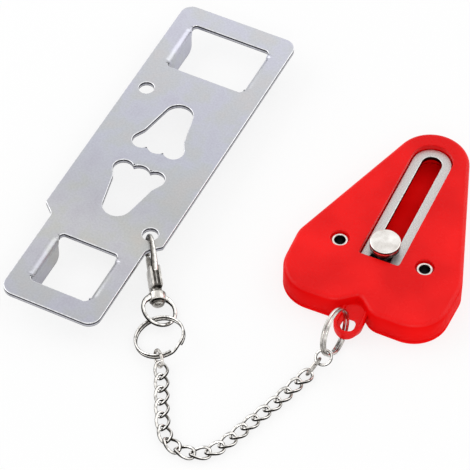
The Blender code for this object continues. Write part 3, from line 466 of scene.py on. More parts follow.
# The cast nose is thicker than the wire, so its painted highlight and dark reflections are broader
# and softer.
NOSE_PAINTED_REFLECTIONS = banded("cast_nose_painted_reflections", ALONG_V, 0.18, 0.55, [
    (0.0, "1E1C1A"), (0.10, "35322E"), (0.17, "7A7670"), (0.24, "F4F1EC"), (0.33, "F8F5F0"),
    (0.40, "A8A49E"), (0.46, "2E2B28"), (0.60, "8D8983"), (1.0, "1E1C1A")])
print("banded finishes:", PUNCHED_EDGE_PAINTED_LIGHT.name, RAIL_EDGE_PAINTED_LIGHT.name, WIRE_PAINTED_REFLECTIONS.name, NOSE_PAINTED_REFLECTIONS.name)

# %% [markdown]
# ## Finishes that are speckled all over
# Every other finish is a tone that clouds a little, a roughness that follows wear, and dents or
# waves that bend the reflections.  The marks could be cut into the mesh, but they are far finer
# than its faces.  So one graph of three noises serves them all.

# %% Speckled finish
def speckled(name, tone, dents, haze, settings):
    """Three noises, each of so many spots in a millimetre, give tone, bump and roughness.

    tone is (spots, detail, spread, dark, light), a ramp round the noise's middle.  dents is
    (spots, detail, strength, depth in mm).  haze is (spots, detail, low, high), or None where
    the settings give the roughness.
    """
    made, tree = blank(name)
    where = add(tree, "TexCoord").outputs["Object"]
    cloud, pits, *film = [
        add(tree, "TexNoise", {"Vector": where, "Scale": spots / MM, "Detail": detail})
        for spots, detail, *_ in filter(None, (tone, dents, haze))]
    spread, dark, light = tone[2:]
    colour = add(tree, "ValToRGB", {"Fac": cloud.outputs["Fac"]}, [
        (0.5 - spread, linear(dark)), (0.5 + spread, linear(light))])
    strength, depth = dents[2:]
    bump = add(tree, "Bump", {
        "Height": pits.outputs["Fac"], "Strength": strength, "Distance": depth * MM})
    sockets = {"Base Color": colour.outputs["Color"], "Normal": bump.outputs["Normal"], **settings}
    if film:
        rough = add(tree, "MapRange", {
            "Value": film[0].outputs["Fac"], "To Min": haze[2], "To Max": haze[3]})
        sockets["Roughness"] = rough.outputs["Result"]
    shader = add(tree, "BsdfPrincipled", sockets)
    add(tree, "OutputMaterial", {"Surface": shader.outputs["BSDF"]})
    return made


# %% [markdown]
# ## Bright nickel plating
# The cast and turned parts are tumbled and nickel plated: a hard mirror with a faint yellow
# warmth.  A plain mirror would look like chrome in this white set, so its tone is clouded every
# 3.8 mm with painted dark and bright reflections, and dents break the reflections up.  The dents
# are drawn 0.7 mm wide, ten times their real size, to show.

# %% Nickel finishes
def nickel(name, dark, light, rough, dents):
    """Speckled mirror whose roughness runs from 0.6 to 1.5 times a middle value."""
    # The dark and light tones cloud into painted reflections of a room.
    return speckled(name, (0.26, 3.0, 0.18, dark, light), (1.4, 2.0, dents, 0.1),
                    (0.26, 3.0, 0.6 * rough, 1.5 * rough), {"Metallic": 1.0})


# Die casting: bright, with painted dark patches that stand for a mirrored room.
CASTING = nickel("die_casting_painted_reflections", "6A6762", "F0ECE6", 0.16, 0.25)
# Painted shade: nickel made dark and dull where shade and dark reflections fall on the hook, its
# sleeve and the knob.
NICKEL_PAINTED_SHADE = nickel("nickel_painted_shade", "201E1C", "7C7872", 0.30, 0.25)
# Stamped lever: greyer than the casting, so that the gate stands out.
LEVER = nickel("nickel_plated_stamped_lever", "4A4743", "D4D0C9", 0.20, 0.25)
# Spring wire: an even bright grey, because the upright ring mirrors the set itself.
RING = nickel("nickel_plated_spring_wire", "55524D", "EDE9E3", 0.14, 0.25)
# Satin turned steel: nearly white, with soft edges to its reflections.
KNOB = nickel("satin_nickel_turned_steel", "D8D3CD", "FCF9F5", 0.26, 0.08)
# Rolled eyelet: a thin clean bright ring.
EYELET = nickel("nickel_plated_eyelet", "CFCAC4", "F4F0EB", 0.18, 0.10)
# Almost black: partly oiled spring steel, partly painted shade, so the bores and the parts under
# the guide look deep.
DARK_STEEL = nickel("oiled_steel_and_painted_shade", "1C1C1E", "3A3A3C", 0.40, 0.10)
print("finishes so far:", len(bpy.data.materials))

# %% [markdown]
# ## Red ABS
# Both halves of the lock are moulded in red ABS.  A mould's surface is never a perfect mirror:
# a slow waviness bends the highlights, and fine handling haze lifts the roughness.  A plain
# red would do from far away, but the broad flat top needs both to look moulded.

# %% Red plastic
def red_abs(name, sheen, low, high):
    """Waves 21 mm wide in tone and bump, and haze 4.5 mm wide in the roughness."""
    # The tone's lighter waves are painted soft reflections.
    return speckled(name, (0.048, 2.0, 0.16, "E20002", "F81010"), (0.048, 2.0, 0.12, 0.3),
                    (0.22, 4.0, low, high), {"IOR": 1.49, "Specular IOR Level": sheen})


# Moulded ABS: a strong red under a soft gloss, held low because the white set washes it out.
RED = red_abs("moulded_red_abs", 0.20, 0.20, 0.34)
# The mould's side walls and back are spark eroded: matt, and a deeper red for it.
RED_SIDE = red_abs("spark_eroded_red_abs", 0.02, 0.45, 0.60)

# %% [markdown]
# ## Sanded steel for the guide
# The guide is cut from sheet and tumbled in grit.  Brushed steel would have lines, but tumbling
# has no direction, so its face is a plain grey speckle.  It is drawn 0.3 mm wide to show.

# %% Sanded steel
# Tumbled steel: an even pale grey that sparkles a little, because tone and bump follow one grit.
GUIDE = speckled("tumbled_sheet_steel", (3.2, 2.0, 0.15, "B2B0AE", "E4E2E0"),
                 (3.2, 2.0, 0.35, 0.06), None, {"Metallic": 0.85, "Roughness": 0.42})
print("finishes:", len(bpy.data.materials))

# %% [markdown]
# ## The strike plate
# Outline, two windows, two lobed cut-outs and two holes are punched in one stroke, and four
# claws are bent down out of the windows.  Cutting a slab with Boolean modifiers would leave
# sharp rims.  A rounded wall round each outline draws a bright line round every opening.

# %% Plate outlines
PLATE = mirrored([
    (13.6, -68.1, 4.5, 1), (21.1, -37.64, 3.0, -1), (21.7, -32.0, 0.8, 1), (18.0, 68.1, 4.5, 1)])
LOBED = [(0.0, 7.4, 4.0, 1), (3.2, 4.85, 0.0, -1), (6.1, 7.1, 3.6, 1), (9.8, 12.8, 2.4, -1),
         (0.0, 22.6, 5.2, 1), (-9.8, 12.8, 2.4, -1), (-6.1, 7.1, 3.6, 1), (-3.2, 4.85, 0.0, -1)]
HOLE = [(16.2, -29.4, 2.75, 1)]
SHEET = 2.0
CLAW_HALF, CLAW_CORNER, CLAW_SOFT = 8.05, 2.6, 0.3
BEND_IN, BEND_OUT, FLARE = 0.8, 2.8, 1.3
CLAWS = [(53.3, 14.6), (-53.3, 10.5)]  # y of each pair, x of its claws' inner faces


def window(centre_y, inner):
    """Stamped window: webs at its corners, and notches that the claws' bends fill."""
    web, bend, half, slit = inner + 0.4, inner + BEND_OUT, 11.225, CLAW_HALF + FLARE
    right = [(web - 1.6, 1.6 - half, 1.6, 1), (web, -slit, 0.0, -1),
             (bend - 0.3, 0.3 - slit, 0.3, 1), (bend - 0.3, slit - 0.3, 0.3, 1),
             (web, slit, 0.0, -1), (web - 1.6, half - 1.6, 1.6, 1)]
    return [(x, y + centre_y, r, s) for x, y, r, s in mirrored(right)]


# %% [markdown]
# ## Claws
# Each claw is a tongue of the same sheet, bent down by a quarter turn.  A Bend modifier would
# stretch it.  Carrying the sheet's section down the bent path keeps its thickness.

# %% Claws
def claw_grid(bend_x, centre_y, side):
    """Rounded strip carried down the bend: short tail, quarter turn, leg with round corners.

    Each row is a rounded rectangle square to the path.  Over the last 2.6 mm its half width is
    the straight one less 2.6, plus 2.6 times the root of 1 - share squared.
    """
    middle, foot = (BEND_IN + BEND_OUT) / 2, FLOOR + CLAW_CORNER
    t = np.linspace(0.0, np.pi / 2, 13)
    tip = FLOOR + CLAW_CORNER * (1 - np.sin(np.linspace(0.15, np.pi / 2, 9)))
    leg = np.concatenate([np.linspace(-1.6, foot, 5), tip])
    x = np.concatenate([[0.7, 0.35], -middle * np.sin(t), np.full(len(leg), -middle)])
    z = np.concatenate([[0.96, 1.0], middle * np.cos(t) - BEND_IN, leg])
    share = np.clip((foot - z) / CLAW_CORNER, 0.0, 1.0)
    half = (CLAW_HALF - CLAW_CORNER + CLAW_CORNER * np.sqrt(1.0 - share ** 2))[:, None]
    dx, dz = np.gradient(x), np.gradient(z)
    length = np.hypot(dx, dz)
    corner = np.radians(np.add.outer([0.0, 90.0, 180.0, 270.0], np.linspace(0.0, 90.0, 5)).ravel())
    across = np.repeat([1.0, -1.0, -1.0, 1.0], 5) * (half - CLAW_SOFT) + CLAW_SOFT * np.cos(corner)
    depth = np.repeat([1.0, 1.0, -1.0, -1.0], 5) * (SHEET / 2 - CLAW_SOFT)
    depth = depth + CLAW_SOFT * np.sin(corner)
    grid = capped(np.stack([x[:, None] - np.outer(dz / length, depth), across,
                            z[:, None] + np.outer(dx / length, depth)], axis=2))
    grid[..., 0] = side * (bend_x + grid[..., 0])
    grid[..., 1] += centre_y
    return grid


def flare_grid(bend_x, centre_y, side, end):
    """Drawn metal beside a claw's root: rows blend from the bent section to the flat sheet.

    A section is the outer curve out and the inner curve back.  With f = eased(share), a row is
    (1 - f) * bent + f * flat, and the last row overlaps the sheet by 0.3 mm.  The flare stands
    4 microns proud of the sheet above and ends 30 microns inside it below.
    """
    high, low, overlap = SHEET + 0.004, 0.03, 0.35
    t = np.linspace(0.0, np.pi / 2, 12)
    lead = np.array([overlap, 0.0])
    flat_x = np.concatenate([lead, -(BEND_OUT - 0.4) * np.linspace(0.0, 1.0, 12)])
    top_x = np.concatenate([lead, -BEND_OUT * np.sin(t)])
    top_z = high + np.concatenate([0 * lead, -BEND_OUT * (1 - np.cos(t))])
    low_x = np.concatenate([lead, -BEND_IN * np.sin(t)])
    low_z = low + np.concatenate([0 * lead, -BEND_IN * (1 - np.cos(t))])
    bent = np.stack([np.concatenate([top_x, low_x[::-1]]),
                     np.concatenate([top_z, low_z[::-1]])], axis=1)
    flat = np.stack([np.concatenate([flat_x, flat_x[::-1]]),
                     np.repeat([high, low], len(flat_x))], axis=1)
    share = np.concatenate([[0.0], np.linspace(0.0, 1.0, 12), [1.0]])
    y = CLAW_HALF + np.concatenate([[-overlap], FLARE * np.linspace(-0.1, 1.0, 12), [FLARE + 0.3]])
    f = eased(share)[:, None, None]
    section = (1 - f) * bent + f * flat
    return capped(np.stack([
        side * (bend_x + section[..., 0]),
        centre_y + end * y[:, None] + 0 * section[..., 0], section[..., 1]], axis=2))


# %% Strike plate
openings = [window(y, inner) for y, inner in CLAWS]
openings += [LOBED, turned_over(LOBED), turned_over(HOLE), HOLE]
edge = rim(0.0, SHEET, 0.25, 0.25)
cut = (1, len(edge) - 2)
grids = [(wall(PLATE, edge), cut)] + [(wall(o, edge, -1.0), cut) for o in openings]
loops = [belt(PLATE, 0.55)] + [belt(o, -0.55) for o in openings]
for centre_y, inner in CLAWS:
    for side in (1, -1):
        grids.append((claw_grid(inner + BEND_OUT, centre_y, side),))
        grids += [(flare_grid(inner + BEND_OUT, centre_y, side, end),) for end in (1, -1)]
piece("plate_sheet", "plate", "strike_plate", ZINC, grids,
      [flat_fill(loops, SHEET), flat_fill(loops, 0.0)], second=PUNCHED_EDGE_PAINTED_LIGHT)

# %% [markdown]
# ## Wire parts
# Rings, connectors and links are all one thing: round wire bent along a path.  A curve with a
# bevel depth could draw it, but it twists where the path turns out of its plane.  Here a second
# direction at each point keeps the section upright, and cut ends close to a small flat.

# %% Carried wire
CUT_END = 0.18  # how far a cut end's edge is rounded, as a share of the radius


def carried(path, up, radius, closed, section=1.0, sides=20):
    """Tube grid: each row is the path point plus radius * (cos a * side + sin a * up).

    The radius is one number, or one for each point of the path.  The section stretches it
    along up.
    """
    radius = np.broadcast_to(radius, len(path))[:, None, None]
    if closed:
        tangent = np.roll(path, -1, axis=0) - np.roll(path, 1, axis=0)
    else:
        tangent = np.gradient(path, axis=0)
    tangent /= np.linalg.norm(tangent, axis=1)[:, None]
    side = np.cross(tangent, up)
    side /= np.linalg.norm(side, axis=1)[:, None]
    up = np.cross(side, tangent)
    a = np.linspace(0.0, 2 * np.pi, sides, endpoint=False)
    ring = radius * (np.cos(a)[None, :, None] * side[:, None, :]
                     + section * np.sin(a)[None, :, None] * up[:, None, :])
    grid = path[:, None, :] + ring
    if closed:
        return np.concatenate([grid, grid[:1]])
    near = path[0] - CUT_END * radius[0] * tangent[0] + (1 - CUT_END) * ring[:1]
    far = path[-1] + CUT_END * radius[-1] * tangent[-1] + (1 - CUT_END) * ring[-1:]
    return capped(np.concatenate([near, grid, far]))


def pointing(direction, path):
    """The same direction at every point of a path."""
    return np.broadcast_to(np.array(direction), path.shape).copy()


UP, ACROSS = (0.0, 0.0, 1.0), (0.0, 1.0, 0.0)

# %% [markdown]
# ## Split rings and the jump ring
# A split ring is spring wire wound twice, with a short slope where it changes layer.  A Screw
# modifier would slope all the way round, so the path is written as an angle and a height.

# %% Rings
def split_path(radius, layer, split, half=16.0, count=150):
    """Angle runs nearly twice round; the height is a cosine step between the two cut ends."""
    a = np.radians(np.linspace(split + half, split - half + 720.0, count))
    slope = (a - math.radians(split - half + 360.0)) / math.radians(2 * half)
    height = -layer / 2 * np.cos(np.pi * np.clip(slope, 0.0, 1.0))
    return np.stack([radius * np.cos(a), radius * np.sin(a), height], axis=1)


RING_WIRE, SQUASH = 0.45, 1.12
for name, path, place, finish in (
        ("key_ring", split_path(8.2, 1.25, 40.0), KEY_RING, WIRE_PAINTED_REFLECTIONS),
        ("tab_ring", split_path(8.0, 1.20, -61.0), TAB_RING, RING)):
    grid = carried(path, pointing(UP, path), RING_WIRE, False, SQUASH)
    piece(f"{name}_wire", name, name, finish, [(grid,)], place=place, sharp=60.0)

a = np.linspace(0.0, 2 * np.pi, 72, endpoint=False)
path = np.stack([2.65 * np.cos(a), 2.65 * np.sin(a), 0 * a], axis=1)
piece("jump_ring_wire", "jump_ring", "jump_ring", WIRE_PAINTED_REFLECTIONS,
      [(carried(path, pointing(UP, path), RING_WIRE, True),)], place=JUMP_RING, sharp=60.0)

# %% [markdown]
# ## Connectors
# An oval of wire with a fine cut in one long side, opened with pliers to join ring and chain.
# A stretched circle would pinch its ends, so the path is two half circles and two straights.

# %% Connectors
def oval_path(half_length, half_height=2.4, cut=0.4, count=26):
    """Two half circles and two straights in the XZ plane, starting and ending at the cut."""
    reach = half_length - half_height
    t = np.linspace(np.pi / 2, 1.5 * np.pi, count)
    left = np.stack([-reach + half_height * np.cos(t), 0 * t, half_height * np.sin(t)], axis=1)
    right = np.stack([reach - half_height * np.cos(t), 0 * t, -half_height * np.sin(t)], axis=1)
    start = np.array([[-cut / 2, 0.0, half_height]])
    stop = np.array([[cut / 2, 0.0, half_height]])
    return np.concatenate([start, left, right, stop])


for name, half_length, place in (("start", 2.9, START_CONNECTOR), ("end", 3.4, END_CONNECTOR)):
    path = oval_path(half_length)
    grid = carried(path, pointing(ACROSS, path), 0.55, False)
    piece(f"{name}_connector_wire", f"connector_{name}", f"chain_connector_{name}", CASTING,
          [(grid,)], place=place, sharp=60.0)

# %% [markdown]
# ## Curb links
# A curb link is an oval twisted about its long axis until the chain lies flat.  Twisting a
# finished ring with a modifier would squash its wire.  Here the path itself is the twisted
# oval, 38 degrees each way, and the wire stays round along it.

# %% Chain links
LINK_HALF, LINK_HEIGHT, FULLNESS, TWIST, LINK_WIRE = 3.26, 2.05, 0.70, 38.0, 0.50


def link_path(count=80):
    """x = a cos t, and a height b sin t to the power 0.7 turns about x by 38 degrees * cos t."""
    t = np.linspace(0.0, 2 * np.pi, count, endpoint=False)
    twist = math.radians(TWIST) * np.cos(t)
    height = LINK_HEIGHT * np.sign(np.sin(t)) * np.abs(np.sin(t)) ** FULLNESS
    path = np.stack([LINK_HALF * np.cos(t), height * np.cos(twist), height * np.sin(twist)], axis=1)
    up = np.stack([0 * t, -np.sin(twist), np.cos(twist)], axis=1)
    return path, up


grid = carried(*link_path(), LINK_WIRE, True, sides=16)
for number, place in enumerate(LINKS, 1):
    piece(f"curb_link_{number:02d}", f"link_{number:02d}", f"chain_link_{number:02d}", WIRE_PAINTED_REFLECTIONS,
          [(grid,)], place=place, sharp=60.0)

# %% [markdown]
# ## Turned parts
# Eyelets, the hook's head and the knob are solids of revolution.  Blender's Spin tool could
# turn them, but it can leave faces inside out, so the grid is worked out directly.

# %% Turned helpers
def spun(profile, sides):
    """Grid of rows (r cos a, r sin a, z), one for each profile point."""
    a = np.linspace(0.0, 2 * np.pi, sides, endpoint=False)
    r, z = np.array(profile).T[:, :, None]
    return np.stack([r * np.cos(a), r * np.sin(a), z + 0 * a], axis=2)


def arc(cx, cy, radius, start, stop, steps=6):
    """Profile points on a circle, from one angle to another in degrees."""
    t = np.radians(np.linspace(start, stop, steps + 1))
    return [(cx + radius * np.cos(k), cy + radius * np.sin(k)) for k in t]


def along_x(grid):
    """A grid that stands along z, laid along x."""
    return np.stack([grid[..., 2], grid[..., 1], -grid[..., 0]], axis=-1)


def upright(grid):
    """A grid that lies in XY, stood up in XZ."""
    return np.stack([grid[..., 0], -grid[..., 2], grid[..., 1]], axis=-1)


# %% [markdown]
# ## Snap hook
# A die casting: a round nose bent through the plate's hole, a squared body that holds the
# gate, and a post with a domed head that the eye turns on.  It could be sculpted, but a die's
# shapes are plain, so the nose is a carried bar and the body is a stack of slabs.

# %% Hook nose
def nose_grid():
    """Round bar along a half circle, then a limb that drops as share to the 1.7 and thickens."""
    bend_radius, bend_height, bar, points = 4.4, 0.35, 0.8, 37
    t = np.radians(np.linspace(-90.0, -270.0, points))
    bend = np.stack([bend_radius + bend_radius * np.cos(t), 0 * t,
                     bend_height + bend_radius * np.sin(t)], axis=1)
    x = np.linspace(4.9, 14.0, 16)
    share = (x - 4.9) / 9.1
    limb = np.stack([x, 0 * x, bend_height + bend_radius - 2.2 * share ** 1.7], axis=1)
    radius = np.concatenate([np.full(points, bar), bar + 0.5 * share])
    outward = np.concatenate([bend - [bend_radius, 0.0, bend_height], 0 * limb + UP])
    return carried(np.concatenate([bend, limb]), outward, radius, False, sides=28)


def slab(outline, low, high, soft):
    """Slab of an outline that stands upright, with rounded rims: its wall and its two faces."""
    faces = [flat_fill([belt(outline, soft + 0.15)], level) for level in (low, high)]
    return (upright(wall(outline, rim(low, high, soft, soft, 0.15))),), [
        (upright(points), polygons) for points, polygons in faces]


# %% Snap hook
def block(left, right, low, high, radius):
    """Rectangle with round corners: a circle at each of its four corners."""
    return [(x, y, radius, 1)
            for x, y in ((left, low), (right, low), (right, high), (left, high))]


CHEEK = block(13.1, 19.1, -1.5, 2.6, 1.1)
CORE = block(12.9, 19.3, 1.1, 2.5, 0.6)
BRIDGE = block(18.9, 19.7, -1.9, 2.2, 0.3)
RIB = block(13.2, 18.8, 1.3, 2.8, 0.6)
head = [(0.0, 26.6)] + [(2.25 * math.sin(k), 25.1 + 1.5 * math.cos(k))
                        for k in np.linspace(0.15, np.pi / 2, 10)]
head += [(2.15, 25.05), (1.5, 25.05), (1.5, 21.25), (1.85, 21.22), (2.0, 21.05), (2.0, 19.6),
         (0.0, 19.6)]
outside = [slab(CHEEK, 1.05, 1.8, 0.25), slab(CHEEK, -1.8, -1.05, 0.25),
           slab(RIB, -0.22, 0.22, 0.08)]
inside = [slab(CORE, -1.2, 1.2, 0.1), slab(BRIDGE, -1.2, 1.2, 0.1)]
# The head's lower dome and neck take the painted shade finish.
piece("hook_casting", "hook", "snap_hook", CASTING,
      [grid for grid, _ in outside] + [(along_x(spun(head, 40)), (7, 13))],
      [face for _, faces in outside for face in faces], place=HOOK, second=NICKEL_PAINTED_SHADE)
# The core and bridge inside the cheeks are painted shade.
piece("hook_core", "hook", None, NICKEL_PAINTED_SHADE, [grid for grid, _ in inside],
      [face for _, faces in inside for face in faces], place=HOOK)
piece("hook_nose", "hook", None, NOSE_PAINTED_REFLECTIONS, [(nose_grid(),)], place=HOOK, sharp=60.0)

# %% [markdown]
# ## Swivel eye
# A ring cast in one piece with a short sleeve round the hook's post.  A plain ring stuck to it
# would look welded.  A casting swells there so that the metal can flow, so the ring's radius
# grows towards the sleeve.

# %% Swivel eye
EYE_RADIUS = 5.75
a = np.linspace(0.0, 2 * np.pi, 120, endpoint=False)
swell = 0.65 + 0.85 * np.clip(1.0 - np.abs(a - np.pi) / 1.25, 0.0, 1.0)
path = np.stack([27.12 + swell + EYE_RADIUS * np.cos(a), EYE_RADIUS * np.sin(a), 0 * a], axis=1)
sleeve = [(1.8, 24.65), (2.3, 24.65)] + arc(2.3, 23.95, 0.7, 90, 10, 5)
sleeve += arc(2.5, 22.1, 0.6, 0, -90, 5) + [(1.8, 21.5), (1.8, 24.65)]
# The sleeve's top and upper shoulder, under the hook's head, take the painted shade finish.
piece("swivel_sleeve", "swivel", None, CASTING, [(along_x(spun(sleeve, 40)), (0, 4))],
      place=EYE_FRAME, second=NICKEL_PAINTED_SHADE)
piece("swivel_ring", "swivel", "swivel_eye", WIRE_PAINTED_REFLECTIONS,
      [(carried(path, pointing(UP, path), swell, True),)], place=EYE_FRAME, sharp=60.0)

# %% [markdown]
# ## The lock's front half
# A heart-like tongue 10 mm thick with a generous top fillet, a long recess for the guide, two
# counterbores for the eyelets and a tab for the ring.  Booleans would tear the fillets, so each
# hollow is a wall round its own outline.

# %% Lock outlines
BODY = [(0.0, -21.8, 1.6, -1), (9.2, -18.9, 6.6, 1), (16.8, -13.0, 12.6, 1), (20.1, -3.4, 9.6, 1),
        (0.0, 44.6, 13.1, 1), (-20.1, -3.4, 9.6, 1), (-16.8, -13.0, 12.6, 1), (-9.2, -18.9, 6.6, 1)]
TROUGH = [(-6.4, -2.3, 0.9, 1), (6.4, -2.3, 0.9, 1), (0.0, 44.6, 7.3, 1)]
CHANNEL = [(-4.9, -2.16, 0.9, 1), (4.9, -2.16, 0.9, 1), (0.0, 44.6, 5.8, 1)]
TAB = [(0.0, -28.8, 4.9, 1), (4.2, -15.0, 0.0, 1), (-4.2, -15.0, 0.0, 1)]
EYE = [(0.0, -29.3, 2.4, 1), (0.0, -28.3, 2.3, 1)]
RIVET_X = 15.4
RIVETS = [[(RIVET_X, 0.0, 3.3, 1)], [(-RIVET_X, 0.0, 3.3, 1)]]
TOP, LEDGE, WEB, SPLIT_HIGH, SPLIT_LOW = 10.0, 6.0, 4.3, 1.75, 1.45


# %% Tab
def tab_low(y):
    """Underside: level at 3.4 mm up to the hole's end, then down to 2.1 mm at the tip."""
    return 3.4 - 1.3 * np.clip((-31.7 - y) / 2.0, 0.0, 1.0)


def tab_wall():
    """Wall round the tab: its foot follows the underside, its crest rises towards the lock.

    A row is (inset, height, follow): its height is added to follow * crest plus
    (1 - follow) * underside.
    """
    profile = [(0.5, 0.0, 0.0), (0.15, 0.0, 0.0), (0.0, 0.15, 0.0), (0.0, -0.45, 1.0),
               (0.13, -0.13, 1.0), (0.45, 0.0, 1.0), (0.85, 0.0, 1.0), (1.17, -0.13, 1.0),
               (1.3, -0.45, 1.0)]
    rows = []
    for inset, height, follow in profile:
        loop = belt(TAB, inset)
        crest = 5.6 + 1.8 * eased((loop[:, 1] + 27.6) / 6.2)
        z = height + follow * crest + (1 - follow) * tab_low(loop[:, 1])
        rows.append(np.column_stack([loop, z]))
    inner = wall(TAB, [(1.32, WEB + 0.15), (1.37, WEB + 0.03), (1.48, WEB)])
    return np.concatenate([rows, inner])


def web_ramp():
    """Wedge between the tab's walls whose top rises smoothly from the web to the notch."""
    y = np.linspace(-26.6, -17.0, 14)[:, None]
    half = 3.55 - 0.045 * (y + 26.6)
    top = 4.27 + 1.6 * eased((y + 25.6) / 5.0)
    side = half * np.array([[-1.0, 1.0, 1.0, 0.5, 0.0, -0.5, -1.0]])
    high = np.array([[0.0, 0.0, 1.0, 1.0, 1.0, 1.0, 1.0]])
    return capped(np.stack([side, y + 0 * side, 4.0 + high * (top - 4.0)], axis=2))


# %% Front half
def lip(soft):
    """Upper edge of a hollow: a flat shelf at the top, then a quarter round into the hollow."""
    quarter = rounded((0.0, TOP - soft), (soft, TOP), 4)[::-1]
    return [(-0.6, TOP)] + [(-d, z) for d, z in quarter]


outer = [(0.6, SPLIT_HIGH), (0.2, SPLIT_HIGH), (0.0, SPLIT_HIGH + 0.2)]
outer += rounded((0.0, TOP - 1.6), (1.6, TOP), 10) + [(2.2, TOP)]
recess = lip(0.3) + [(0.0, LEDGE + 0.1), (0.03, LEDGE + 0.03), (0.08, LEDGE)]
bore = lip(0.25) + [(0.0, 8.3), (0.06, 8.16), (0.2, 8.1), (0.75, 8.1), (0.75, SPLIT_HIGH)]
eye_edge = [(-0.25, WEB), (-0.1, 4.26), (0.0, 4.15), (0.0, 3.55), (-0.06, 3.44), (-0.2, 3.4)]
grids = [(wall(BODY, outer), (0, 6)), (wall(TROUGH, recess),),
         (wall(CHANNEL, [(0.0, LEDGE), (0.0, SPLIT_HIGH)]),), (tab_wall(),),
         (wall(EYE, eye_edge),), (web_ramp(),)]
grids += [(wall(r, bore),) for r in RIVETS]
under, faces = flat_fill([belt(TAB, 0.5), belt(EYE, -0.2)], 0.0)
under[:, 2] = tab_low(under[:, 1])
fills = [flat_fill([belt(BODY, 2.2), belt(TROUGH, -0.6)] + [belt(r, -0.6) for r in RIVETS], TOP),
         flat_fill([belt(BODY, 0.6), belt(CHANNEL)] + [belt(r, 0.75) for r in RIVETS], SPLIT_HIGH),
         flat_fill([belt(TROUGH, 0.08), belt(CHANNEL)], LEDGE),
         flat_fill([belt(TAB, 1.48), belt(EYE, -0.25)], WEB), (under, faces)]
piece("front_half", "lock", "lock_front_shell", RED, grids, fills, place=LOCK, sharp=50.0,
      second=RED_SIDE)

# %% [markdown]
# ## The lock's back half
# A flat cover closes the back, and a pad on it stands up into the channel as its floor.  One
# block with a blind slot would look the same in front, but two halves leave the real seam.

# %% Back half
PAD = 2.6
back = [(1.1, 0.0), (0.8, 0.0)] + rounded((0.0, 0.6), (0.6, 0.0), 4)[::-1]
back += [(0.0, SPLIT_LOW - 0.2), (0.2, SPLIT_LOW), (0.6, SPLIT_LOW)]
pad = [(0.3, SPLIT_LOW), (0.3, PAD - 0.15), (0.35, PAD - 0.05), (0.5, PAD)]
hole = [(0.75, SPLIT_LOW), (0.75, 0.9), (0.0, 0.9), (0.0, 0.0)]
grids = [(wall(BODY, back),), (wall(CHANNEL, pad),)] + [(wall(r, hole),) for r in RIVETS]
face = [belt(BODY, 0.6), belt(CHANNEL, 0.3)] + [belt(r, 0.75) for r in RIVETS]
fills = [flat_fill(face, SPLIT_LOW), flat_fill([belt(BODY, 1.1)] + [belt(r) for r in RIVETS], 0.0),
         flat_fill([belt(CHANNEL, 0.5)], PAD)]
piece("back_half", "lock", "lock_back_shell", RED_SIDE, grids, fills, place=LOCK, sharp=50.0)

# %% [markdown]
# ## The guide
# A long U cut from sheet steel lies in the recess, and the knob's neck runs between its legs.
# It could be a bent strip, but its corners are cut square, so it is one outline with a rim.

# %% Guide
RAIL = [(6.4, -2.1, 0.6, 1), (0.0, 44.6, 7.0, 1), (-6.4, -2.1, 0.6, 1), (-4.2, -2.1, 0.6, 1),
        (0.0, 44.6, 3.6, -1), (4.2, -2.1, 0.6, 1)]
edge = rim(6.3, 8.0, 0.15, 0.22)
piece("guide_strip", "lock", "guide_rail", GUIDE, [(wall(RAIL, edge), (1, len(edge) - 2))],
      [flat_fill([belt(RAIL, 0.52)], 8.0), flat_fill([belt(RAIL, 0.45)], 6.3)], place=LOCK,
      second=RAIL_EDGE_PAINTED_LIGHT)

# %% [markdown]
# ## Eyelets and knob
# Each eyelet is a tube rolled over at both ends, and the knob is turned from bar.  An open bore
# would show the white floor, where the real one looks black, so a thin dark lining stands in it
# as painted shade.

# %% Eyelets
eyelet = [(2.0, 8.75)] + arc(2.25, 8.74, 0.20, 180, 90, 5) + arc(2.52, 8.70, 0.26, 80, -20, 6)
eyelet += [(2.75, 8.42), (2.35, 8.4), (2.35, 0.6), (2.8, 0.55)] + arc(2.5, 0.3, 0.3, 0, -90, 4)
eyelet += [(2.2, 0.0), (2.0, 0.4), (2.0, 8.75)]
bore_shade = [(1.99, 8.6), (1.93, 8.6), (1.93, 0.5), (1.99, 0.5), (1.99, 8.6)]
for side, x in (("left", -RIVET_X), ("right", RIVET_X)):
    where = LOCK @ shift(x, 0.0, 0.0)
    piece(f"eyelet_{side}", "lock", f"rivet_{side}", EYELET, [(spun(eyelet, 48),)], place=where)
    piece(f"eyelet_bore_shade_{side}", "lock", None, DARK_STEEL, [(spun(bore_shade, 48),)], place=where)

# %% Knob
knob = [(0.0, 13.2), (4.5, 13.2), (4.75, 13.18)] + arc(4.83, 12.78, 0.42, 80, 0, 6)
knob += [(5.25, 12.35), (5.25, 11.6), (5.25, 11.2)] + arc(4.95, 10.5, 0.3, 0, -90, 5)
knob += [(2.8, 10.2), (2.8, 6.0), (1.8, 6.0), (1.8, 4.3), (0.0, 4.3)]
# Below the top's round, the knob's side and underside take the painted shade finish, with one
# bright band left between.
piece("knob_turning", "slide", "slide_knob", KNOB, [(spun(knob, 72), (7, 10), (11, 19))],
      place=LOCK @ shift(0.0, 2.4, 0.0), second=NICKEL_PAINTED_SHADE)

# %% [markdown]
# ## Small parts that keep their CAD shape
# The gate, its pin and spring, the shoe and its washer are tiny or hidden.  They could be
# modelled again, but their solids are close enough, so they only get a finish.

# %% Finishes of the small parts
# The gate spring, the shoe and its washer wear the dark steel: partly oiled steel, partly painted
# shade.
for node, finish in (("gate_lever", LEVER), ("gate_pin", CASTING), ("gate_spring", DARK_STEEL),
                     ("slide_shoe", DARK_STEEL), ("slide_spring_washer", DARK_STEEL)):
    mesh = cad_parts[node].data
    mesh.materials.clear()
    mesh.materials.append(finish)
    print(node, "wears", finish.name)

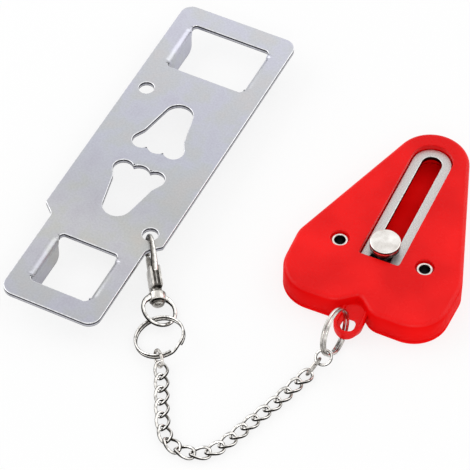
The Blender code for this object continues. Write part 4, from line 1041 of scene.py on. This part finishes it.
# %% [markdown]
# ## White floor
# A product photo is taken on a sweep of white paper.  A curved sheet could be modelled, but a
# flat floor under a white world looks the same from every side.  The paper is lit and also
# glows to the camera, so it is white and still keeps the soft shadow.  Metal mirrors only part
# of that glow, because a studio is dark beyond its paper.

# %% Floor
TO_CAMERA, IN_MIRRORS = 0.8, 0.35
REACH, AIR = 3.0, 0.00002  # metres
paper, tree = blank("white_paper_sweep")
matt = add(tree, "BsdfPrincipled", {"Base Color": linear("FBFBFB"), "Roughness": 0.9})
glow = add(tree, "Emission", {"Color": linear("FFFFFF"), "Strength": 1.0})
rays = add(tree, "LightPath")
mirrored_share = add(tree, "Math", {0: rays.outputs["Is Glossy Ray"], 1: IN_MIRRORS},
                     operation="MULTIPLY")
share = add(tree, "Math", {
    0: rays.outputs["Is Camera Ray"], 1: TO_CAMERA, 2: mirrored_share.outputs[0]},
    operation="MULTIPLY_ADD")
mixed = add(tree, "MixShader", {
    0: share.outputs[0], 1: matt.outputs[0], 2: glow.outputs[0]})
add(tree, "OutputMaterial", {"Surface": mixed.outputs[0]})

floor_mesh = bpy.data.meshes.new("floor")
floor_mesh.from_pydata([(-REACH, -REACH, 0), (REACH, -REACH, 0), (REACH, REACH, 0),
                        (-REACH, REACH, 0)], [], [(0, 1, 2, 3)])
floor_mesh.transform(Matrix.Translation((0.0, 0.0, FLOOR * MM - AIR)))
floor_mesh.materials.append(paper)
floor = bpy.data.objects.new("floor", floor_mesh)
bpy.context.scene.collection.objects.link(floor)

# %% [markdown]
# ## Sky and lamps
# The world is soft light for the object, and plain white to the camera, in mirrors and through
# glass.  A picture of a studio could light it, but three broad lamps are simpler.  Two windows
# draw long highlights along the edges, and a strip in front lights the walls.

# %% Sky
world = bpy.data.worlds.new("studio")
bpy.context.scene.world = world
world.use_nodes = True
tree = world.node_tree
tree.nodes.clear()
soft = add(tree, "Background", {"Color": linear("FFFFFF"), "Strength": 0.75})
white = add(tree, "Background", {"Color": linear("FFFFFF"), "Strength": 1.0})
rays = add(tree, "LightPath")
direct = add(tree, "Math", {
    0: rays.outputs["Is Camera Ray"], 1: rays.outputs["Is Glossy Ray"]}, operation="MAXIMUM")
seen = add(tree, "Math", {
    0: direct.outputs[0], 1: rays.outputs["Is Transmission Ray"]}, operation="MAXIMUM")
mixed = add(tree, "MixShader", {
    0: seen.outputs[0], 1: soft.outputs[0], 2: white.outputs[0]})
add(tree, "OutputWorld", {"Surface": mixed.outputs[0]})


# %% Lamps
def lamp(name, place, target, size, energy):
    """Area lamp of a width and a height in metres, turned towards its target."""
    light = bpy.data.lights.new(name, "AREA")
    light.shape = "RECTANGLE"
    light.size, light.size_y = size
    light.energy = energy
    item = bpy.data.objects.new(name, light)
    bpy.context.scene.collection.objects.link(item)
    item.location = place
    item.rotation_euler = (Vector(target) - Vector(place)).to_track_quat("-Z", "Y").to_euler()
    print(name, energy, "W")


lamp("window_left", (-0.70, -0.05, 0.55), (0.04, 0.0, 0.0), (0.90, 0.60), 2.1)
lamp("softbox_front", (0.42, -0.75, 0.62), (0.07, -0.01, 0.0), (0.50, 0.16), 1.0)
lamp("window_back", (0.60, 0.55, 0.55), (0.04, 0.0, 0.0), (1.00, 0.70), 1.6)

# %% [markdown]
# ## Camera
# The photo looks down at about 50 degrees from the plate's near end.  The camera could be set
# by eye, but its place and lens were fitted to the plate's corners, so that the render and the
# photo can be laid over each other.  The lens is written in pixels of the 470 pixel frame.

# %% Camera
AIM = np.array([41.9, -17.0, 2.0]) * MM
HEADING = np.array([-0.4467, 0.8947])
ELEVATION, DISTANCE = math.radians(50.5), 0.9155
FOCAL, FRAME = 2715.0, 470.0
back_off = np.array([*(-HEADING * math.cos(ELEVATION)), math.sin(ELEVATION)])
camera = bpy.data.objects.new("camera", bpy.data.cameras.new("camera"))
bpy.context.scene.collection.objects.link(camera)
camera.location = (AIM + back_off * DISTANCE).tolist()
camera.rotation_euler = Vector((-back_off).tolist()).to_track_quat("-Z", "Y").to_euler()
camera.data.lens = FOCAL / FRAME * camera.data.sensor_width
bpy.context.scene.camera = camera
bpy.context.scene.view_settings.view_transform = "Standard"
print("lens (mm):", round(camera.data.lens, 1))
